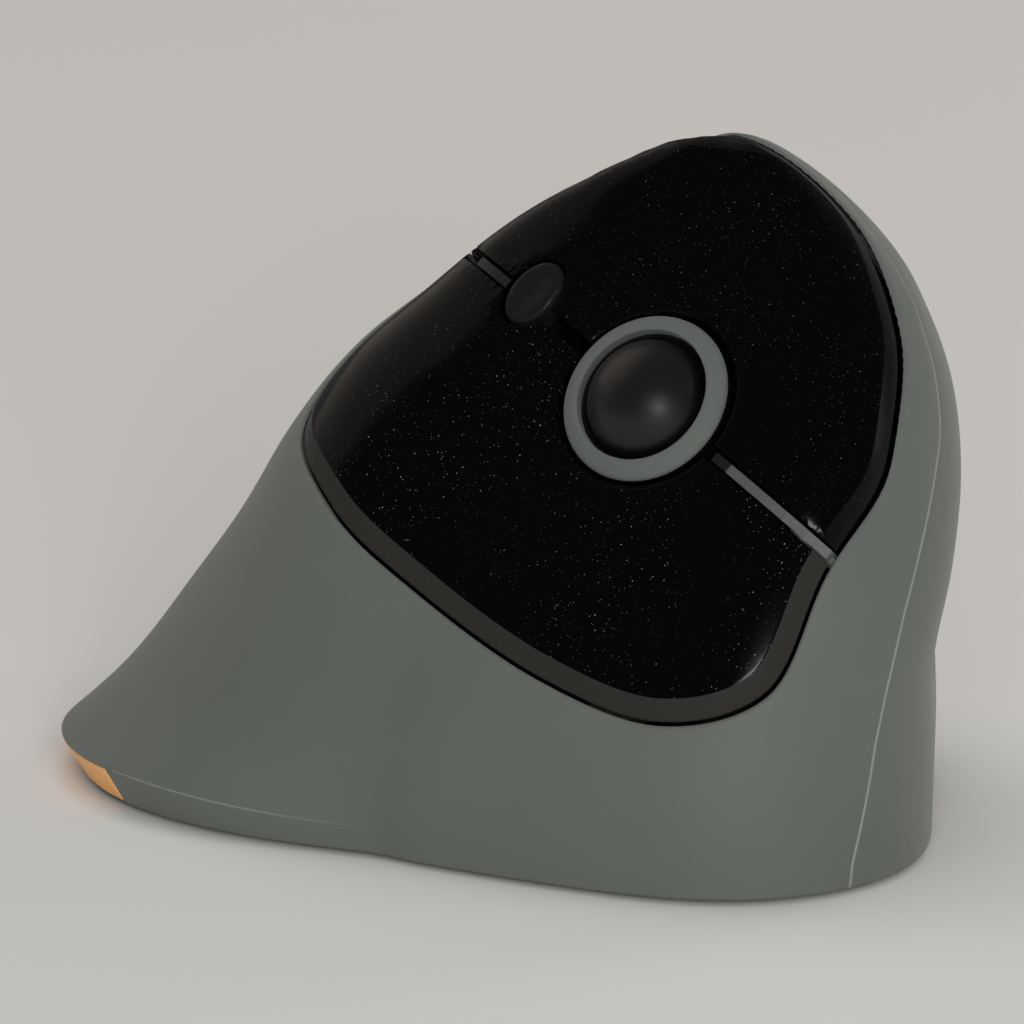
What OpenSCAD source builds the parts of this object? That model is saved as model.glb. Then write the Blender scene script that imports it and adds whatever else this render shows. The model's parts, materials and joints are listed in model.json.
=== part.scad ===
// Vertical ergonomic mouse, right-handed, with a scroll ball between two large buttons.
// Millimetres. +Y points forward, away from the user, +X to the user's right, +Z up.
// The origin is on the desk, under the middle of the mouse.

/* [Body] */
// Overall height, from the desk to the top of the ridge
body_h = 76.6; // [72:0.1:82]
// Overall length, nose to heel
body_l = 101.6; // [97:0.1:108]
// Overall width, from the thumb side to the flange's lip
body_w = 90.4; // [87:0.1:96]
// Wall of the moulded shells
wall = 2; // [1.6:0.1:2.4]
// Gap between the shells and the pieces let into them
seam_gap = 0.4; // [0.3:0.05:0.6]
// Height of the glide feet
foot_h = 0.6; // [0.4:0.1:1]
// Thickness of the base plate
base_t = 2; // [1.8:0.1:3]

/* [Flange] */
// How far the flange stands out from the body's side
flange_reach = 28; // [24:0.5:32]
// Height over which the flange sweeps up into the body
flange_sweep = 15; // [12:0.5:18]
// Height of the rim wall under the flange's lip
rim_h = 5.6; // [4.8:0.1:7]
// Length of the coloured inlay in the rim, in degrees round the body
accent_span = 34; // [20:1:44]
// Depth of the coloured inlay
accent_depth = 1.3; // [1:0.1:1.5]

/* [Thumb side] */
// Depth of the thumb's groove
groove_depth = 5.5; // [3:0.5:6.5]
// Height of the groove's middle above the base
groove_z = 30; // [27:0.5:33]
// Length of each thumb button
side_button_l = 13.5; // [11:0.5:15]
// Height of the thumb buttons
side_button_h = 6.4; // [5:0.2:7]
// Travel of the thumb buttons
side_travel = 0.5; // [0.3:0.1:0.6]

/* [Button panel] */
// Direction the panel faces, in degrees from +X towards +Y
panel_turn = 28.2; // [27:0.1:30]
// How far the panel looks up, in degrees
panel_rise = 35.5; // [34:0.1:37]
// How far the slit between the buttons dips, in degrees
slit_dip = 27.6; // [26:0.1:29]
// Width of the two buttons together
panel_w = 64; // [62:0.5:65]
// Length of the buttons along the fingers
panel_l = 70; // [67:0.5:71]
// Width of the slit between the buttons
slit_w = 1.8; // [1.6:0.1:2.2]
// Width of the rib in the slit
rib_w = 1.1; // [0.8:0.1:1.2]
// Radius of the buttons' hinge pins
pin_r = 0.9; // [0.7:0.05:1.1]
// Length of the oval button
oval_l = 8.2; // [7:0.1:8.6]
// Width of the oval button
oval_w = 5.8; // [5:0.1:6.2]

/* [Scroll ball] */
// Radius of the ball
ball_r = 7.5; // [7.2:0.05:7.6]
// Depth of the ball's centre under the panel's surface
ball_sink = 2.4; // [2.2:0.1:2.8]
// Outer radius of the retaining ring
ring_r = 9.75; // [9.5:0.05:10.2]
// Height of the ring's face over the panel
ring_top = 1.9; // [1.6:0.1:2.2]
// Radius of the rollers that feel the ball turn
roller_r = 1.6; // [1.4:0.1:1.7]

/* [Frame and boards] */
// Depth of the button frame's top under the panel's surface
frame_depth = 11.5; // [11.3:0.1:12.5]
// Thickness of the button frame's plate
frame_t = 1.6; // [1.4:0.1:2]
// Thickness of the circuit boards
board_t = 1.2; // [1:0.1:1.6]
// Height of the main board over the base plate
board_lift = 4.6; // [4.4:0.1:6]
// Radius of the screws' threads
screw_r = 1; // [0.9:0.05:1.1]
// Radius of the screws' heads
head_r = 1.9; // [1.7:0.1:2]

/* [Battery] */
// Radius of the cell
cell_r = 7.25; // [7:0.05:7.25]
// Length of the cell without its end stud
cell_l = 49; // [48:0.5:49]
// Width of the opening that the cell goes in through
door_w = 15.5; // [15.2:0.1:16]

/* [Hidden] */
$fn = 48;

// Six sides of a level section, by the direction each one faces
side_turn = [-30, 30, 90, 150, 210, 270];
// How square the corners between the sides are
section_power = 7;
// Heights of the levels at which the sides' distances are given
level_z = [0, 10, 20, 30, 40, 50, 60, 68, 76.6];
// Distances of the sides from the section's centre at each level: rear right, fingers, nose,
// thumb tip, thumb and heel, then the centre's own x and y
level_cols = [
    [33.5, 34.8, 36.6, 37.8, 37.4, 33.2, 26, 21.5, 18],
    [38.8, 38.6, 35.5, 30.9, 25, 18.7, 12.1, 8, 5],
    [50.5, 50, 48, 45, 41, 36, 27.5, 20, 13],
    [37.2, 37.2, 37.6, 37.8, 36.7, 32.6, 25, 18, 12],
    [32, 32, 31, 29.5, 28.5, 26.5, 22.5, 18, 12],
    [49, 48.5, 46.5, 43, 37.5, 30.5, 22.5, 16.5, 10],
    [-7, -7, -7, -7.5, -8.5, -10.5, -13.2, -15.5, -16.5],
    [3, 3, 3.5, 4.5, 6, 8, 10.5, 12.8, 14]];
top_z = level_z[len(level_z) - 1];
// Height at which the ridge starts to round over, and where the rounding is cut flat
dome_z = 58;
crown_cut = 0.05;
flange_turn = -38;
flange_half = 58;
groove_turn = 195;
groove_half = 62;
groove_half_h = 16;
rim_low = 0.3;

function bump(d, half) = abs(d) < half ? (1 + cos(180 * d / half)) / 2 : 0;
function turn_between(a, b) = (a - b + 540) % 360 - 180;
function segment(x, i = 0) =
    (i >= len(level_z) - 2 || x < level_z[i + 1]) ? i : segment(x, i + 1);
function rise(col, i) = (col[i + 1] - col[i]) / (level_z[i + 1] - level_z[i]);
function slope(col, i) =
    i == 0 ? rise(col, 0) :
    i == len(level_z) - 1 ? rise(col, i - 1) :
    (rise(col, i - 1) * (level_z[i + 1] - level_z[i]) + rise(col, i) * (level_z[i] - level_z[i - 1]))
        / (level_z[i + 1] - level_z[i - 1]);
// Smooth value of every column at height z
function level_at(z) =
    let (i = segment(z), h = level_z[i + 1] - level_z[i], t = (z - level_z[i]) / h)
    [for (col = level_cols)
        col[i] * (1 + 2 * t) * (1 - t) * (1 - t) + slope(col, i) * h * t * (1 - t) * (1 - t)
        + col[i + 1] * t * t * (3 - 2 * t) + slope(col, i + 1) * h * t * t * (t - 1)];
function flange_at(turn) = pow(bump(turn_between(turn, flange_turn), flange_half), 0.9);
function crease_z(turn) =
    rim_low + (rim_h - rim_low)
        * min(1, 1.5 * pow(bump(turn_between(turn, flange_turn), flange_half), 1.1));
function dome(z) = z < dome_z ? 1 : sqrt(max(0, 1 - pow((z - dome_z) / (top_z - dome_z), 2)));
// Radius of the section at height z, in the direction turn; lev is level_at(z)
function body_radius(turn, z, lev) =
    let (zc = crease_z(turn), f = flange_at(turn),
         sides = [for (k = [0 : 5]) pow(max(0, cos(turn - side_turn[k]) / lev[k]), section_power)],
         main = pow(sides * [1, 1, 1, 1, 1, 1], -1 / section_power))
    dome(z) * (main + flange_reach * f * exp(-max(z - zc, 0) / flange_sweep)
        - 0.5 * f * max(zc - z, 0)
        - groove_depth * bump(turn_between(turn, groove_turn), groove_half)
            * bump(z - groove_z, groove_half_h));

// Grid of points on the body, moved inward by inset and down by drop
turns = 60;
rows = 22;
rim_rows = 2;
turn_list = [for (j = [0 : turns - 1]) j * 360 / turns];
function row_z(turn, i, z_end) =
    let (zc = crease_z(turn))
    i <= rim_rows ? zc * i / rim_rows :
    let (t = (i - rim_rows) / (rows - rim_rows))
    zc + (z_end - zc) * (1 - pow(1 - t, 1.6));
function raw_grid(inset, drop) =
    [for (i = [0 : rows]) [for (a = turn_list)
        let (z = row_z(a, i, top_z - crown_cut - drop), lev = level_at(z),
             up = min(top_z - crown_cut, z + drop),
             r = max(0.4, body_radius(a, up, level_at(up)) - inset))
        [lev[6] + r * cos(a), lev[7] + r * sin(a), z]]];
raw = raw_grid(0, 0);
raw_x = [for (row = raw) for (p = row) p[0]];
raw_y = [for (row = raw) for (p = row) p[1]];
raw_mid = [(min(raw_x) + max(raw_x)) / 2, (min(raw_y) + max(raw_y)) / 2];
fit_scale = [body_w / (max(raw_x) - min(raw_x)), body_l / (max(raw_y) - min(raw_y)),
    (body_h - foot_h) / (top_z - crown_cut)];
function placed(p) = [(p[0] - raw_mid[0]) * fit_scale[0], (p[1] - raw_mid[1]) * fit_scale[1],
    foot_h + p[2] * fit_scale[2]];
function unplaced(p) = [p[0] / fit_scale[0] + raw_mid[0], p[1] / fit_scale[1] + raw_mid[1],
    (p[2] - foot_h) / fit_scale[2]];
// Half the wall is lost to the slope where the shell leans in, so its inside drops less
drop_share = 0.7;

module body_solid(inset = 0) {
    grid = inset == 0 ? raw : raw_grid(inset, max(0, drop_share * inset));
    pts = [for (row = grid) for (p = row) placed(p)];
    polyhedron(pts, concat(
        [[for (j = [0 : turns - 1]) j]],
        [[for (j = [0 : turns - 1]) rows * turns + turns - 1 - j]],
        [for (i = [0 : rows - 1]) for (j = [0 : turns - 1])
            let (k = (j + 1) % turns)
            [i * turns + j, (i + 1) * turns + j, i * turns + k]],
        [for (i = [0 : rows - 1]) for (j = [0 : turns - 1])
            let (k = (j + 1) % turns)
            [i * turns + k, (i + 1) * turns + j, (i + 1) * turns + k]]));
}
// Places on the base move with the body's width and length
drawn_w = 90.4;
drawn_l = 101.6;
function spot(p) = [p[0] * body_w / drawn_w, p[1] * body_l / drawn_l];
base_top = foot_h + base_t;

// The panel's own frame: z along its outward direction, y forward along the slit,
// x towards the lower button, origin on the body's surface in the middle of the ball's ring
ring_turn = 53.5;
ring_z = 50.7;
function surface_point(turn, z) =
    let (lev = level_at(z), r = body_radius(turn, z, lev))
    placed([lev[6] + r * cos(turn), lev[7] + r * sin(turn), z]);
panel_origin = surface_point(ring_turn, ring_z);
module in_panel() {
    translate(panel_origin) rotate([0, 90 - panel_rise, panel_turn]) rotate([0, 0, -slit_dip])
        children();
}
// The same frame's directions, to follow the surface from inside it
facing = [cos(panel_turn) * cos(panel_rise), sin(panel_turn) * cos(panel_rise), sin(panel_rise)];
downhill = [cos(panel_turn) * sin(panel_rise), sin(panel_turn) * sin(panel_rise), -cos(panel_rise)];
level_way = [-sin(panel_turn), cos(panel_turn), 0];
panel_x = cos(slit_dip) * downhill - sin(slit_dip) * level_way;
panel_y = sin(slit_dip) * downhill + cos(slit_dip) * level_way;
function within(p) =
    let (q = unplaced(p))
    q[2] < 0 || q[2] > top_z - crown_cut ? false :
    let (lev = level_at(q[2]), d = [q[0] - lev[6], q[1] - lev[7]])
    norm(d) < body_radius(atan2(d[1], d[0]), q[2], lev);
// Height of the body's surface in the panel's frame, found by halving
function skin_z(x, y, low = -14, high = 4, n = 10) =
    let (m = (low + high) / 2)
    n == 0 ? m :
    within(panel_origin + x * panel_x + y * panel_y + m * facing)
        ? skin_z(x, y, m, high, n - 1) : skin_z(x, y, low, m, n - 1);

// Corner points of the buttons' outline, smoothed into one curve
outline_pts = [[31.6, -22], [32.4, -6], [30.8, 12], [26, 26], [16, 32.4], [2, 28.4], [-12, 24],
    [-24, 13.5], [-31, -1], [-29, -16], [-14, -27], [6, -34], [25, -35]];
outline_w = 64;
outline_l = 70;
// The panel's cut goes this far under the surface, past the buttons' own wall
cut_depth = 12.5;
cut_over = 10;
// Room under the buttons' lower edges for their travel
press_room = 1.3;
function curve_point(pts, i, t) =
    let (n = len(pts), a = pts[(i + n - 1) % n], b = pts[i % n],
         c = pts[(i + 1) % n], d = pts[(i + 2) % n])
    0.5 * (2 * b + (c - a) * t + (2 * a - 5 * b + 4 * c - d) * t * t
        + (3 * b - a - 3 * c + d) * t * t * t);
function outline(grow) =
    [for (i = [0 : len(outline_pts) - 1]) for (t = [0 : 0.25 : 0.99])
        let (p = curve_point(outline_pts, i, t))
        [p[0] * (panel_w + 2 * grow) / outline_w, p[1] * (panel_l + 2 * grow) / outline_l]];
module panel_prism(grow, depth = cut_depth) {
    in_panel() translate([0, 0, -depth]) linear_extrude(depth + cut_over) polygon(outline(grow));
}
// Seam between the two shells, seen from behind: x and z of its line
seam_pts = [[-9, -1], [-9.6, 3.5], [-13.5, 16], [-19, 29], [-25.3, 41], [-28.3, 47], [-29.6, 54],
    [-28.4, 60], [-27.3, 68], [-25, 72], [-23, 90]];
module seam_side() {
    side = [for (p = seam_pts) [p[0] * body_w / drawn_w, p[1]]];
    rotate([90, 0, 0]) linear_extrude(3 * body_l, center = true)
        polygon(concat(side, [[-2 * body_w, 90], [-2 * body_w, -1]]));
}
// A freeform piece is cut as one mesh
module one_mesh() { resize([0, 0, 0]) children(); }

// The thumb side's own frame: z outward, x down, y towards the heel
thumb_turn = 185;
thumb_z = 50.5;
thumb_way = 204;
thumb_rise = 11.5;
thumb_origin = surface_point(thumb_turn, thumb_z);
module in_thumb() {
    translate(thumb_origin) rotate([0, 90 - thumb_rise, thumb_way]) children();
}
side_gap = 0.3;
side_split = 1.4;
side_y = (side_button_l + side_split) / 2;
side_round = 1.6;
// How deep the buttons' own cut goes, past their wall where the body curves away
side_depth = 9;
side_over = 5;
// Side is -1 for the forward button and 1 for the back one
module side_prism(side, grow, depth = side_depth) {
    in_thumb() translate([0, side * side_y, -depth]) linear_extrude(depth + side_over)
        offset(side_round + grow)
            square([side_button_h - 2 * side_round, side_button_l - 2 * side_round], center = true);
}

// Posts under the shells that the base plate's screws go up into: x, y and height
grip_posts = [[30, -20.5, 30], [-3, -42, 30], [-6, 45.6, 14]];
thumb_posts = [[-34.5, 3, 32], [-28.3, 32.5, 20]];
post_r = 3;
post_hole = 9;
screw_play = 0.15;
module base_post(p) {
    intersection() {
        translate(concat(spot(p), base_top)) cylinder(r = post_r, h = p[2]);
        body_solid();
    }
}
module base_hole(p) {
    translate(concat(spot(p), base_top - 1))
        cylinder(r = screw_r + screw_play, h = post_hole + 1, $fn = 24);
}
// Posts in the panel's frame that the button frame's screws go into: x, y and the hole's end
frame_posts = [[36.5, -12, -6], [35, 13, -7.5], [20, -37.9, -8.4]];
frame_post_r = 2.6;
module frame_post(p) {
    difference() {
        intersection() {
            in_panel() translate([p[0], p[1], -frame_depth]) cylinder(r = frame_post_r, h = frame_depth);
            body_solid(wall / 2);
        }
        panel_prism(seam_gap);
    }
}
module frame_hole(p) {
    in_panel() translate([p[0], p[1], -frame_depth - 1])
        cylinder(r = screw_r + screw_play, h = frame_depth + 1 + p[2], $fn = 24);
}
// The post on the thumb shell's inside that carries the frame's upper end
far_post = [-26.3, -9];
far_post_r = 2.2;
far_hole = 6;
far_reach = 30;
module frame_far_post() {
    intersection() {
        in_panel() translate([far_post[0], far_post[1], -frame_depth - frame_t - far_reach])
            cylinder(r = far_post_r, h = far_reach);
        body_solid(wall / 2);
    }
}
module frame_far_hole() {
    in_panel() translate([far_post[0], far_post[1], -frame_depth - frame_t - far_hole])
        cylinder(r = screw_r + screw_play, h = far_hole + 1, $fn = 24);
}
// The side board hangs from two posts under the thumb buttons
side_post_x = 6.6;
side_post_y = 6;
side_board_z = -11.2;
side_post_r = 2;
module side_posts() {
    intersection() {
        in_thumb() for (s = [-1, 1]) translate([side_post_x, s * side_post_y, side_board_z])
            cylinder(r = side_post_r, h = -side_board_z);
        body_solid(wall / 2);
    }
}
module side_holes() {
    in_thumb() for (s = [-1, 1]) translate([side_post_x, s * side_post_y, side_board_z - 1])
        cylinder(r = screw_r + screw_play, h = 6, $fn = 24);
}

// Inlay in the rim, set in from the lip and the lower edge
accent_low = 0.8;
accent_edge = 0.5;
module accent_zone(grow) {
    half = accent_span / 2;
    mid = placed([level_at(0)[6], level_at(0)[7], 0]);
    low = foot_h + accent_low - grow;
    high = foot_h + rim_h - accent_edge + grow;
    far = 2 * body_w;
    translate([mid[0], mid[1], low]) rotate([0, 0, flange_turn]) linear_extrude(high - low)
        polygon([[0, 0], far * [cos(half), -sin(half)], far * [cos(half), sin(half)]]);
}
accent_play = 0.05;
module shell() {
    difference() {
        body_solid();
        body_solid(wall);
        panel_prism(seam_gap);
    }
}
module grip_shell() {
    color("#7d817b") one_mesh() difference() {
        union() {
            difference() {
                shell();
                seam_side();
                difference() {
                    accent_zone(accent_play);
                    body_solid(accent_depth + accent_play);
                }
            }
            for (p = grip_posts) base_post(p);
            for (p = frame_posts) frame_post(p);
        }
        for (p = grip_posts) base_hole(p);
        for (p = frame_posts) frame_hole(p);
    }
}
module thumb_shell() {
    color("#7d817b") one_mesh() difference() {
        union() {
            intersection() {
                shell();
                seam_side();
            }
            for (p = thumb_posts) base_post(p);
            frame_far_post();
            side_posts();
        }
        for (s = [-1, 1]) side_prism(s, side_gap, side_depth + side_travel + side_gap);
        for (p = thumb_posts) base_hole(p);
        frame_far_hole();
        side_holes();
    }
}
module accent_strip() {
    color("#d99f65") one_mesh() difference() {
        intersection() {
            accent_zone(0);
            body_solid();
        }
        body_solid(accent_depth);
    }
}

// Base plate, its battery bay and what stands on it
function base_outline() =
    [for (a = turn_list)
        let (r = min([for (z = [0 : 1.4 : 4.2]) body_radius(a, z, level_at(z))]) - wall - seam_gap,
             p = placed([level_at(0)[6] + r * cos(a), level_at(0)[7] + r * sin(a), 0]))
        [p[0], p[1]]];
bay = [-14, -1];
cell_lift = 0.5;
cell_z = base_top + cell_lift + cell_r;
stud_r = 2.75;
stud_l = 1.5;
spring_l = 2.3;
contact_t = 0.4;
end_play = 0.05;
bay_l = cell_l + stud_l + spring_l + contact_t + 3 * end_play;
bay_wall = 1.2;
bay_wall_h = 11;
door_gap = 0.3;
door_lip = 1.5;
door_lip_t = base_t / 2;
module bay_box(w, l, z, h) {
    translate([bay[0] - w / 2, bay[1] - l / 2, z]) cube([w, l, h]);
}
aperture = [8, 2];
aperture_r = 3.5;
board_spots = [[-0.5, -19.5], [18.5, -19.5], [-0.5, 15.5], [17.5, 15.5]];
standoff_r = 2.2;
board_z = base_top + board_lift;
switch_spot = [24, -28];
slider_travel = 3;
slot_l = 8;
slot_w = 3.6;
head_t = 1.2;
module base_plate() {
    color("#2b2c2d") difference() {
        union() {
            translate([0, 0, foot_h]) linear_extrude(base_t) polygon(base_outline());
            bay_box(door_w + 2 * bay_wall, bay_l + 2 * bay_wall, base_top - 0.5, 0.5 + bay_wall_h);
            for (p = board_spots) translate([p[0], p[1], base_top - 0.5])
                cylinder(r = standoff_r, h = board_lift + 0.5);
        }
        bay_box(door_w, bay_l, foot_h - 1, base_t + bay_wall_h + 2);
        bay_box(door_w + 2 * door_lip, bay_l + 2 * door_lip, foot_h - 1, 1 + door_lip_t);
        for (p = board_spots) translate([p[0], p[1], base_top + 0.5])
            cylinder(r = screw_r + screw_play, h = board_lift + 1);
        translate([aperture[0], aperture[1], 0]) cylinder(r = aperture_r, h = base_top + 1);
        translate([spot(switch_spot)[0] - slot_l / 2 + slider_travel / 2,
                   spot(switch_spot)[1] - slot_w / 2, 0]) cube([slot_l, slot_w, base_top + 1]);
        for (q = concat(grip_posts, thumb_posts)) let (p = spot(q)) {
            translate([p[0], p[1], 0]) cylinder(r = screw_r + screw_play, h = base_top + 1);
            translate([p[0], p[1], 0]) cylinder(r = head_r + 0.3, h = foot_h + head_t);
        }
    }
}
module battery() {
    color("#3a5a4a") translate([bay[0], bay[1] - bay_l / 2 + spring_l + end_play, cell_z])
        rotate([-90, 0, 0]) {
            cylinder(r = cell_r, h = cell_l);
            cylinder(r = stud_r, h = cell_l + stud_l);
        }
}
// The spring's outer shape, a hollow cone that narrows towards the cell
module battery_spring() {
    color("#c9b37a") translate([bay[0], bay[1] - bay_l / 2, cell_z]) rotate([-90, 0, 0])
        rotate_extrude() polygon([[4, 0], [5, 0], [5, 0.5], [3.4, spring_l], [2.4, spring_l], [4, 0.4]]);
}
module battery_contact() {
    color("#c9b37a") translate([bay[0] - 4, bay[1] + bay_l / 2 - contact_t, base_top + 0.5])
        cube([8, contact_t, bay_wall_h - 0.5]);
}
module battery_door() {
    color("#2b2c2d") difference() {
        union() {
            bay_box(door_w + 2 * door_lip - 2 * door_gap, bay_l + 2 * door_lip - 2 * door_gap,
                foot_h, door_lip_t - 0.1);
            bay_box(door_w - 2 * door_gap, bay_l - 2 * door_gap, foot_h, base_t);
        }
        translate([bay[0], bay[1] - bay_l / 2, foot_h - 4.4]) rotate([0, 90, 0])
            cylinder(r = 5, h = door_w / 2, center = true);
    }
}
// The slide switch: a bridge over the slider's plate
slider_plate = 8;
slider_t = 1;
bridge_l = slider_plate + slider_travel + 5;
bridge_w = 7;
bridge_z = base_top + slider_t + 0.3;
bridge_h = 3;
bridge_foot = 1.6;
module power_switch() {
    color("#202224") translate([spot(switch_spot)[0] + slider_travel / 2, spot(switch_spot)[1], 0])
        difference() {
            translate([-bridge_l / 2, -bridge_w / 2, base_top])
                cube([bridge_l, bridge_w, bridge_z - base_top + bridge_h]);
            translate([-bridge_l / 2 + bridge_foot, -bridge_w, base_top - 1])
                cube([bridge_l - 2 * bridge_foot, 2 * bridge_w, bridge_z - base_top + 1]);
        }
}
module power_slider() {
    color("#111111") translate([spot(switch_spot)[0], spot(switch_spot)[1], 0]) {
        translate([-slider_plate / 2, -2.6, base_top + 0.1]) cube([slider_plate, 5.2, slider_t]);
        difference() {
            translate([-2.2, -slot_w / 2 + 0.3, foot_h + 0.4]) cube([4.4, slot_w - 0.6, base_t]);
            for (x = [-1.2, 0, 1.2]) translate([x - 0.2, -slot_w, foot_h]) cube([0.4, 2 * slot_w, 0.8]);
        }
    }
}
// Rounded bars under the base: x, y, half length and direction
feet = [[5, 36.5, 6, 150], [11, -40, 6, 0], [33, -32, 4.5, 52], [-34.5, 16, 6, 85]];
foot_r = 2.6;
module glide_feet() {
    color("#1a1a1a") for (f = feet) translate(concat(spot(f), 0)) rotate([0, 0, f[3]])
        linear_extrude(foot_h) polygon(
            [for (a = [-90 : 15 : 270])
                [(a < 90 ? 1 : -1) * f[2], 0] + foot_r * [cos(a), sin(a)]]);
}

// Main board with its soldered parts, and the sensor over the base's aperture
module main_board() {
    color("#2f6b4a") difference() {
        union() {
            translate([-3, -22, board_z]) cube([24, 40, board_t]);
            translate([3, -16, board_z + board_t - 0.2]) cube([8, 8, 1.2]);
            translate([13.5, -8, board_z + board_t - 0.2]) cube([4, 9, 2.6]);
            translate([1.5, 9.5, board_z + board_t - 0.2]) cube([13, 3.4, 3.2]);
        }
        translate([aperture[0], aperture[1], board_z - 1]) cylinder(r = 3.1, h = board_t + 2);
        for (p = board_spots) translate([p[0], p[1], board_z - 1])
            cylinder(r = screw_r + screw_play, h = board_t + 2);
    }
}
lens_t = 1.4;
lens_r = 2.8;
lens_rise = board_lift - lens_t - 0.4;
module optical_sensor() {
    color("#15161a") translate([aperture[0], aperture[1], 0]) {
        translate([-5, -4.5, board_z + board_t]) cube([10, 9, 2.4]);
        translate([0, 0, base_top + lens_t + lens_rise + 0.1])
            cylinder(r = lens_r, h = board_z + board_t + 1 - base_top - lens_t - lens_rise - 0.1);
    }
}
module sensor_lens() {
    color("#cfe3ea", 0.5) translate([aperture[0], aperture[1], 0]) {
        translate([-7.5, -5.5, base_top]) cube([15, 11, lens_t]);
        translate([0, 0, base_top]) cylinder(r = lens_r, h = lens_t + lens_rise);
        translate([0, 0, base_top - 1]) cylinder(r = aperture_r - 0.3, h = 1.2);
    }
}

// Screws, with a cross recess in the head; the shank points along +z from under the head
module screw(l) {
    difference() {
        translate([0, 0, -head_t]) cylinder(r = head_r, h = head_t);
        for (a = [0, 90]) rotate([0, 0, a]) translate([-1.1, -0.25, -head_t - 1]) cube([2.2, 0.5, 1.6]);
    }
    translate([0, 0, -0.2]) cylinder(r = screw_r, h = l + 0.2);
}
module base_screws() {
    color("#8f9396") for (q = concat(grip_posts, thumb_posts)) let (p = spot(q))
        translate([p[0], p[1], foot_h + head_t]) screw(8);
}
module board_screws() {
    color("#8f9396") {
        for (p = board_spots) translate([p[0], p[1], board_z + board_t]) mirror([0, 0, 1]) screw(4.5);
        in_panel() for (p = switch_posts) translate([p[0], p[1], -switch_board_depth - board_t]) screw(4);
        in_thumb() for (s = [-1, 1])
            translate([side_post_x, s * side_post_y, side_board_z - board_t]) screw(5);
    }
}
module frame_screws() {
    color("#8f9396") in_panel() {
        for (p = frame_posts) translate([p[0], p[1], -frame_depth - frame_t])
            screw(frame_depth + frame_t + p[2] - 0.4);
        translate([far_post[0], far_post[1], -frame_depth]) mirror([0, 0, 1]) screw(frame_t + far_hole - 1);
        for (s = [-1, 1]) rotate([0, 0, 60])
            translate([s * carrier_screw_at, 0, -frame_depth + carrier_foot_t]) {
                cylinder(r = 1.4, h = 1);
                translate([0, 0, -carrier_foot_t - 1.2]) cylinder(r = 0.8, h = carrier_foot_t + 1.3);
            }
    }
}

// Button frame: the plate under the buttons, their hinges' ears, the rib and the oval's sleeve
frame_outline = [[-26, -14], [-19, -22], [4, -27.5], [10, -33], [16.5, -39.5], [23.5, -39.5], [26, -33],
    [31, -20], [33.5, -15.5], [40, -15.5], [40, -8.5], [33, -8.5], [31.5, 10], [38.3, 10], [38.3, 16.5],
    [29.5, 17], [22, 24], [2, 24], [-10, 18], [-17.5, 13], [-20.8, 9], [-23, 2], [-27.6, -5],
    [-28.3, -7.5], [-28.3, -10.5]];
// Hinges: x and y of each button's pin, at one depth
hinges = [[-12.4, -19.5], [16, -31]];
hinge_depth = 7;
ear_x = 6.5;
lug_x = 4.4;
ear_t = 1.6;
ear_half = 1.9;
ear_over = 1.7;
pin_fit = 0.03;
hinge_play = 0.07;
oval_at = [-1, -20];
stem_r = 1.6;
stem_play = 0.06;
sleeve_r = 2.9;
sleeve_top = -3.8;
switch_posts = [[-9, 2], [9, 2], [-9, -20], [9, -20]];
switch_board_depth = frame_depth + frame_t + 4;
rib_sink = 0.4;
ring_gap = 0.6;
module rib(from, to) {
    ys = [for (i = [0 : 6]) from + (to - from) * i / 6];
    top = [for (y = ys) [y, skin_z(0, y) - rib_sink]];
    translate([-rib_w / 2, 0, 0]) rotate([90, 0, 90]) linear_extrude(rib_w)
        polygon(concat(top, [[to, -frame_depth - 0.5], [from, -frame_depth - 0.5]]));
}
module button_frame() {
    color("#3f4140") in_panel() difference() {
        union() {
            translate([0, 0, -frame_depth - frame_t]) linear_extrude(frame_t) polygon(frame_outline);
            for (h = hinges) for (s = [-1, 1])
                translate([h[0] + s * ear_x - ear_t / 2, h[1] - ear_half, -frame_depth - 0.5])
                    cube([ear_t, 2 * ear_half, frame_depth + 0.5 - hinge_depth + ear_over]);
            rib(ring_r + ring_gap + 0.8, panel_l * 0.39);
            rib(-panel_l * 0.43, oval_at[1] - oval_w / 2 - 1.2);
            translate([oval_at[0], oval_at[1], -frame_depth - 0.5])
                cylinder(r = sleeve_r, h = frame_depth + 0.5 + sleeve_top);
            for (p = switch_posts) translate([p[0], p[1], -switch_board_depth])
                cylinder(r = standoff_r, h = switch_board_depth - frame_depth - 0.5);
        }
        for (h = hinges) translate([h[0] - 10, h[1], -hinge_depth]) rotate([0, 90, 0])
            cylinder(r = pin_r + pin_fit, h = 20);
        for (p = concat(frame_posts, [far_post])) translate([p[0], p[1], -frame_depth - frame_t - 1])
            cylinder(r = screw_r + screw_play, h = frame_t + 2);
        for (p = switch_posts) translate([p[0], p[1], -switch_board_depth - 1])
            cylinder(r = screw_r + screw_play, h = 4.4);
        for (s = [-1, 1]) rotate([0, 0, 60]) translate([s * carrier_screw_at, 0, -frame_depth - frame_t - 1])
            cylinder(r = 0.9, h = frame_t + 2);
        translate([oval_at[0], oval_at[1], -frame_depth - frame_t - 1])
            cylinder(r = stem_r + stem_play, h = frame_depth + frame_t);
        translate([0, 0, -frame_depth - frame_t - 1]) cylinder(r = 2.5, h = frame_t + 2);
    }
}
module button_pins() {
    color("#b9bcbe") in_panel() for (h = hinges)
        translate([h[0] - ear_x - ear_t / 2, h[1], -hinge_depth]) rotate([0, 90, 0])
            cylinder(r = pin_r, h = 2 * ear_x + ear_t);
}
module switch_board() {
    color("#2f6b4a") in_panel() difference() {
        translate([-12, -24, -switch_board_depth - board_t]) cube([24, 30, board_t]);
        for (p = switch_posts) translate([p[0], p[1], -switch_board_depth - board_t - 1])
            cylinder(r = screw_r + screw_play, h = board_t + 2);
    }
}
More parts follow.
